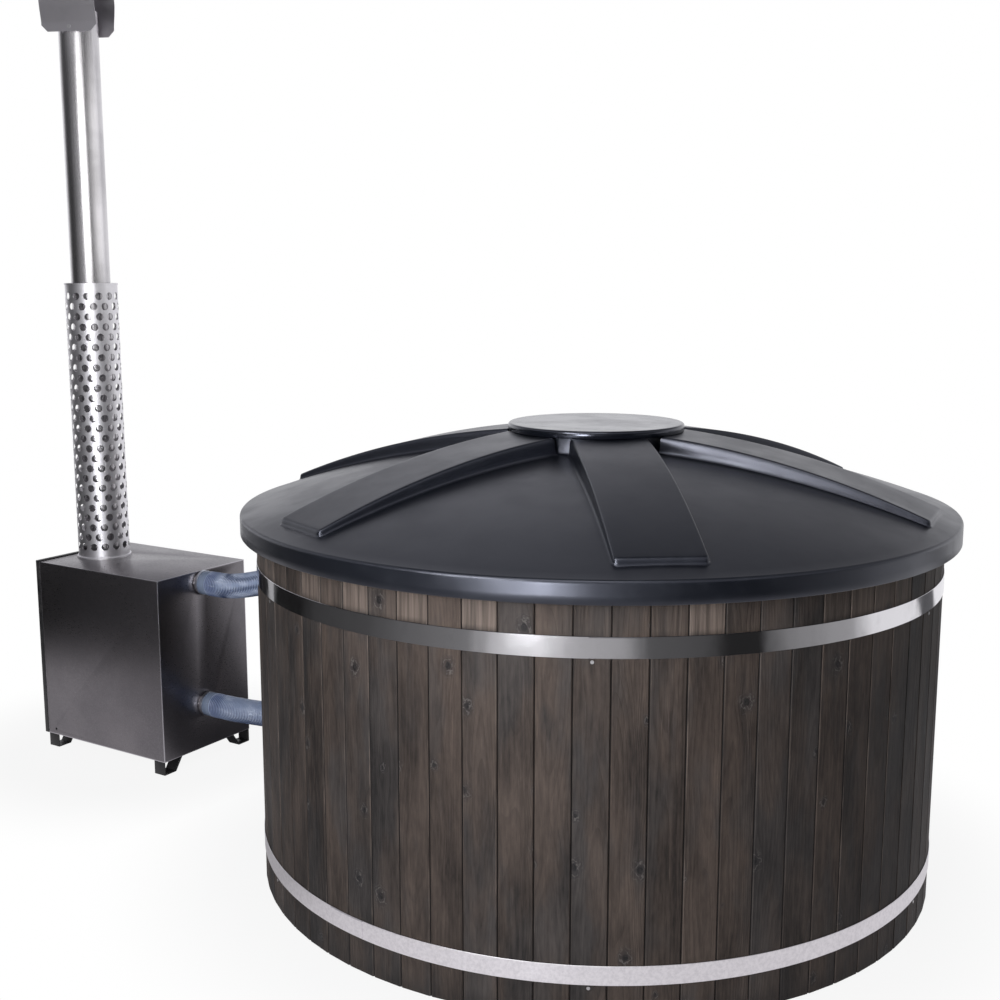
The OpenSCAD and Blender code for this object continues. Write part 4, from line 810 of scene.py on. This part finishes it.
def rain_cap():
    bm = bmesh.new()
    half = FLUE_R + SEAT + RAIN_T
    side = [(half, RAIN_LOW), (half, RAIN_LOW + 0.026), (half + 0.0006, RAIN_LOW + 0.033),
            (RAIN_R - 0.0035, RAIN_MID - 0.030), (RAIN_R - 0.0006, RAIN_MID - 0.008)]
    sheet = side + arc(0, RAIN_MID, RAIN_R, 0, 180, 40) + [(-y, z) for y, z in reversed(side)]
    line = wire(bm, [(-RAIN_L / 2, y, z) for y, z in sheet])
    for _ in range(4):
        line = bmesh.ops.extrude_edge_only(bm, edges=edges_of(line))["geom"]
        verts = [g for g in line if isinstance(g, bmesh.types.BMVert)]
        bmesh.ops.translate(bm, vec=(RAIN_L / 4, 0, 0), verts=verts)
    for end in (-1, 1):
        bmesh.ops.bisect_plane(bm, geom=bm.verts[:] + bm.edges[:] + bm.faces[:], clear_outer=True,
                               plane_co=(end * (RAIN_L / 2 - RAIN_CLIP), 0, RAIN_LOW), plane_no=(end, 0, -1))
    bmesh.ops.remove_doubles(bm, verts=bm.verts, dist=1e-6)
    bmesh.ops.recalc_face_normals(bm, faces=bm.faces)
    # the sheet has to grow thick inwards, so its faces look outwards first
    crown = [f for f in bm.faces if f.calc_center_median().z > RAIN_MID + RAIN_R * 0.8]
    if sum(f.normal.z * f.calc_area() for f in crown) < 0:
        bmesh.ops.reverse_faces(bm, faces=bm.faces)
    bmesh.ops.solidify(bm, geom=bm.faces[:], thickness=RAIN_T)
    bmesh.ops.rotate(bm, cent=ORIGIN, matrix=Matrix.Rotation(RAIN_TURN, 3, "Z"), verts=bm.verts)
    bmesh.ops.translate(bm, vec=(*FLUE, 0), verts=bm.verts)
    return add("rain_hood", bm, RAIN_STEEL, "tub", ["rain_cap"], sharp=FOLD)


rain_cap()


# ---- Studio: pale floor, white surround, soft lights ----
def mirrored_floor(m, x, y):
    """The floor as polished metal sees it: white close to the tub, with bright and dark fields beyond."""
    azimuth = m.azimuth(x, y)
    far = m.all_round(azimuth, [
        (-180, 0.13), (-176, 0.012), (-160, 0.012), (-152, 0.045), (-128, 0.07), (-114, 0.13), (-102, 0.17),
        (-95, 0.20), (-90, 0.52), (-76, 0.78), (-69, 0.46), (-54, 0.36), (-48, 0.10), (-32, 0.075),
        (-26, 0.020), (-16, 0.020), (-8, 0.22), (16, 0.36), (24, 0.85), (60, 0.90), (164, 0.85),
        (172, 0.40)], (0.97, 0.97, 1.0))
    close = m.all_round(azimuth, [
        (-178, 0.72), (-160, 0.68), (-149, 0.40), (-132, 0.42), (-112, 0.68), (-95, 0.76), (100, 0.74),
        (178, 0.50)], (0.99, 0.97, 1.0))
    oval = m.length(m.times(m.plus(x, 0.55), 1 / 2.2), m.times(y, 1 / 1.5))
    view = m.mix(m.step(oval, 0.95, 1.45), close, far)
    # the strip of floor between the heater and the tub lies in shade
    beside = m.step(m.math("ABSOLUTE", m.plus(m.minus(x, y), 1.20)), 0.78, 0.50)
    shade = m.times(beside, m.step(y, -0.30, -0.08))
    return m.mix(m.times(shade, 0.92), view, (0.03, 0.03, 0.035))


def floor_paint():
    """White floor, a little in shade by the tub and the heater. It sends little light back up."""
    m = Mat("floor_paint", color=(0.42, 0.42, 0.43), rough=0.9)
    x, y, _ = m.xyz()
    glow = m.node("Emission", 0, {"Color": mirrored_floor(m, x, y), "Strength": 1.0})
    white = m.node("Emission", 0, {"Color": (1, 1, 1), "Strength": 1.0})
    paint = m.shader.outputs[0]
    heater = m.length(m.minus(x, HEATER_MID), m.minus(y, HOSE_Y))
    away = m.math("MINIMUM", m.length(x, y), m.plus(heater, 0.50))
    seen = m.blend(m.step(away, 0.9, 1.4, 0.90, 1.0), paint, white)
    path = m.node("LightPath", None)
    pick = m.blend(path.outputs["Is Camera Ray"], paint, seen)
    pick = m.blend(path.outputs["Is Glossy Ray"], pick, glow)
    pick = m.blend(path.outputs["Is Transmission Ray"], pick, seen)
    m.put(m.tree.nodes["Material Output"].inputs["Surface"], pick)
    return m.material


def studio_world():
    """White to the camera and through the hoses, and bright and dark fields to what shines."""
    world = bpy.data.worlds.new("studio")
    bpy.context.scene.world = world
    world.use_nodes = True
    world.node_tree.nodes.clear()
    n = Nodes(world.node_tree)
    x, y, z = n.xyz(n.node("TexCoord", "Generated"))
    azimuth = n.azimuth(x, y)
    cool = (1, 1, 1.03)
    low = n.all_round(azimuth, [
        (-180, 0.75), (-170, 0.35), (-155, 0.05), (-122, 0.06), (-95, 0.30), (-75, 0.40), (-45, 0.20),
        (-30, 0.07), (0, 0.07), (26, 0.25), (46, 0.85), (90, 1.0), (165, 1.05)], cool)
    rising = [(0.0, 0.85), (0.32, 0.72), (0.55, 0.52), (0.76, 0.44), (0.88, 0.20), (1.0, 0.15)]
    around = n.all_round(azimuth, [
        (-180, 0.7), (-120, 0.9), (-60, 1.0), (60, 0.5), (92, 0.52), (104, 0.62), (122, 1.05), (137, 1.05),
        (146, 0.66), (178, 0.7)], cool)
    up = n.mix(1.0, n.ramp(z, [(height, tinted(v, cool)) for height, v in rising]), around, "MULTIPLY")
    view = n.mix(n.step(z, 0.18, 0.42, kind="LINEAR"), low, up)
    shiny = n.node("Background", 0, {"Color": view, "Strength": 1.0})
    soft = n.node("Background", 0, {"Color": (0.95, 0.97, 1.0), "Strength": 0.10})
    seen = n.node("Background", 0, {"Color": (1, 1, 1), "Strength": 1.0})
    path = n.node("LightPath", None)
    pick = n.blend(path.outputs["Is Glossy Ray"], soft, shiny)
    pick = n.blend(path.outputs["Is Transmission Ray"], pick, seen)
    pick = n.blend(path.outputs["Is Camera Ray"], pick, seen)
    n.node("OutputWorld", None, {0: pick})


def floor():
    bm = bmesh.new()
    bmesh.ops.create_circle(bm, cap_ends=True, radius=14.0, segments=96)
    mesh = bpy.data.meshes.new("floor")
    bm.to_mesh(mesh)
    bm.free()
    mesh.materials.append(floor_paint())
    obj = bpy.data.objects.new("floor", mesh)
    bpy.context.collection.objects.link(obj)


def soft_light(name, place, target, size, power, color=(1, 1, 1), shines=True, spread=180):
    """A flat lamp turned to the target. It shows in polished surfaces unless shines is off."""
    light = bpy.data.lights.new(name, "AREA")
    light.shape = "RECTANGLE"
    light.size, light.size_y = size
    light.energy = power
    light.spread = math.radians(spread)
    light.color = color
    obj = bpy.data.objects.new(name, light)
    obj.location = place
    obj.rotation_euler = (Vector(target) - Vector(place)).to_track_quat("-Z", "Y").to_euler()
    obj.visible_camera = False
    obj.visible_glossy = shines
    bpy.context.collection.objects.link(obj)


studio_world()
floor()
DAYLIGHT = (0.95, 0.97, 1.0)
soft_light("low_box", (0.78, -3.64, 0.53), (0.0, 0.0, 0.53), (1.0, 0.46), 39, DAYLIGHT)
soft_light("tall_box", (0.78, -3.64, 1.80), (0.0, 0.0, 1.00), (1.0, 2.0), 72, DAYLIGHT, shines=False)
soft_light("high_box", (-0.12, -2.44, 2.15), (0.45, 0.0, 1.1), (0.8, 0.7), 12)
soft_light("rib_box", (0.0, -2.5, 1.43), (0.55, -0.1, 1.12), (0.8, 0.3), 1.6, spread=50)
soft_light("over", (1.0, -2.4, 4.0), (-0.3, 0.0, 0.6), (2.0, 2.0), 24)
soft_light("back_box", (-1.2, 4.2, 1.9), (-0.4, 0.0, 0.8), (1.6, 1.6), 90, shines=False)
soft_light("side_box", (1.9, 3.4, 0.9), (0.2, 0.0, 0.8), (0.9, 1.4), 13, shines=False)
soft_light("chimney_card", (-0.37, -1.67, 2.05), (-1.87, -0.06, 2.05), (1.5, 1.0), 3.6, spread=90)
soft_light("chimney_fill", (0.20, 0.69, 2.05), (-1.87, -0.06, 2.05), (3.6, 1.0), 3.2, spread=90)
soft_light("fire_side", (-5.0, 0.6, 1.7), (-1.8, 0.0, 0.6), (1.4, 1.4), 26, shines=False)

bpy.context.scene.view_settings.view_transform = "Standard"
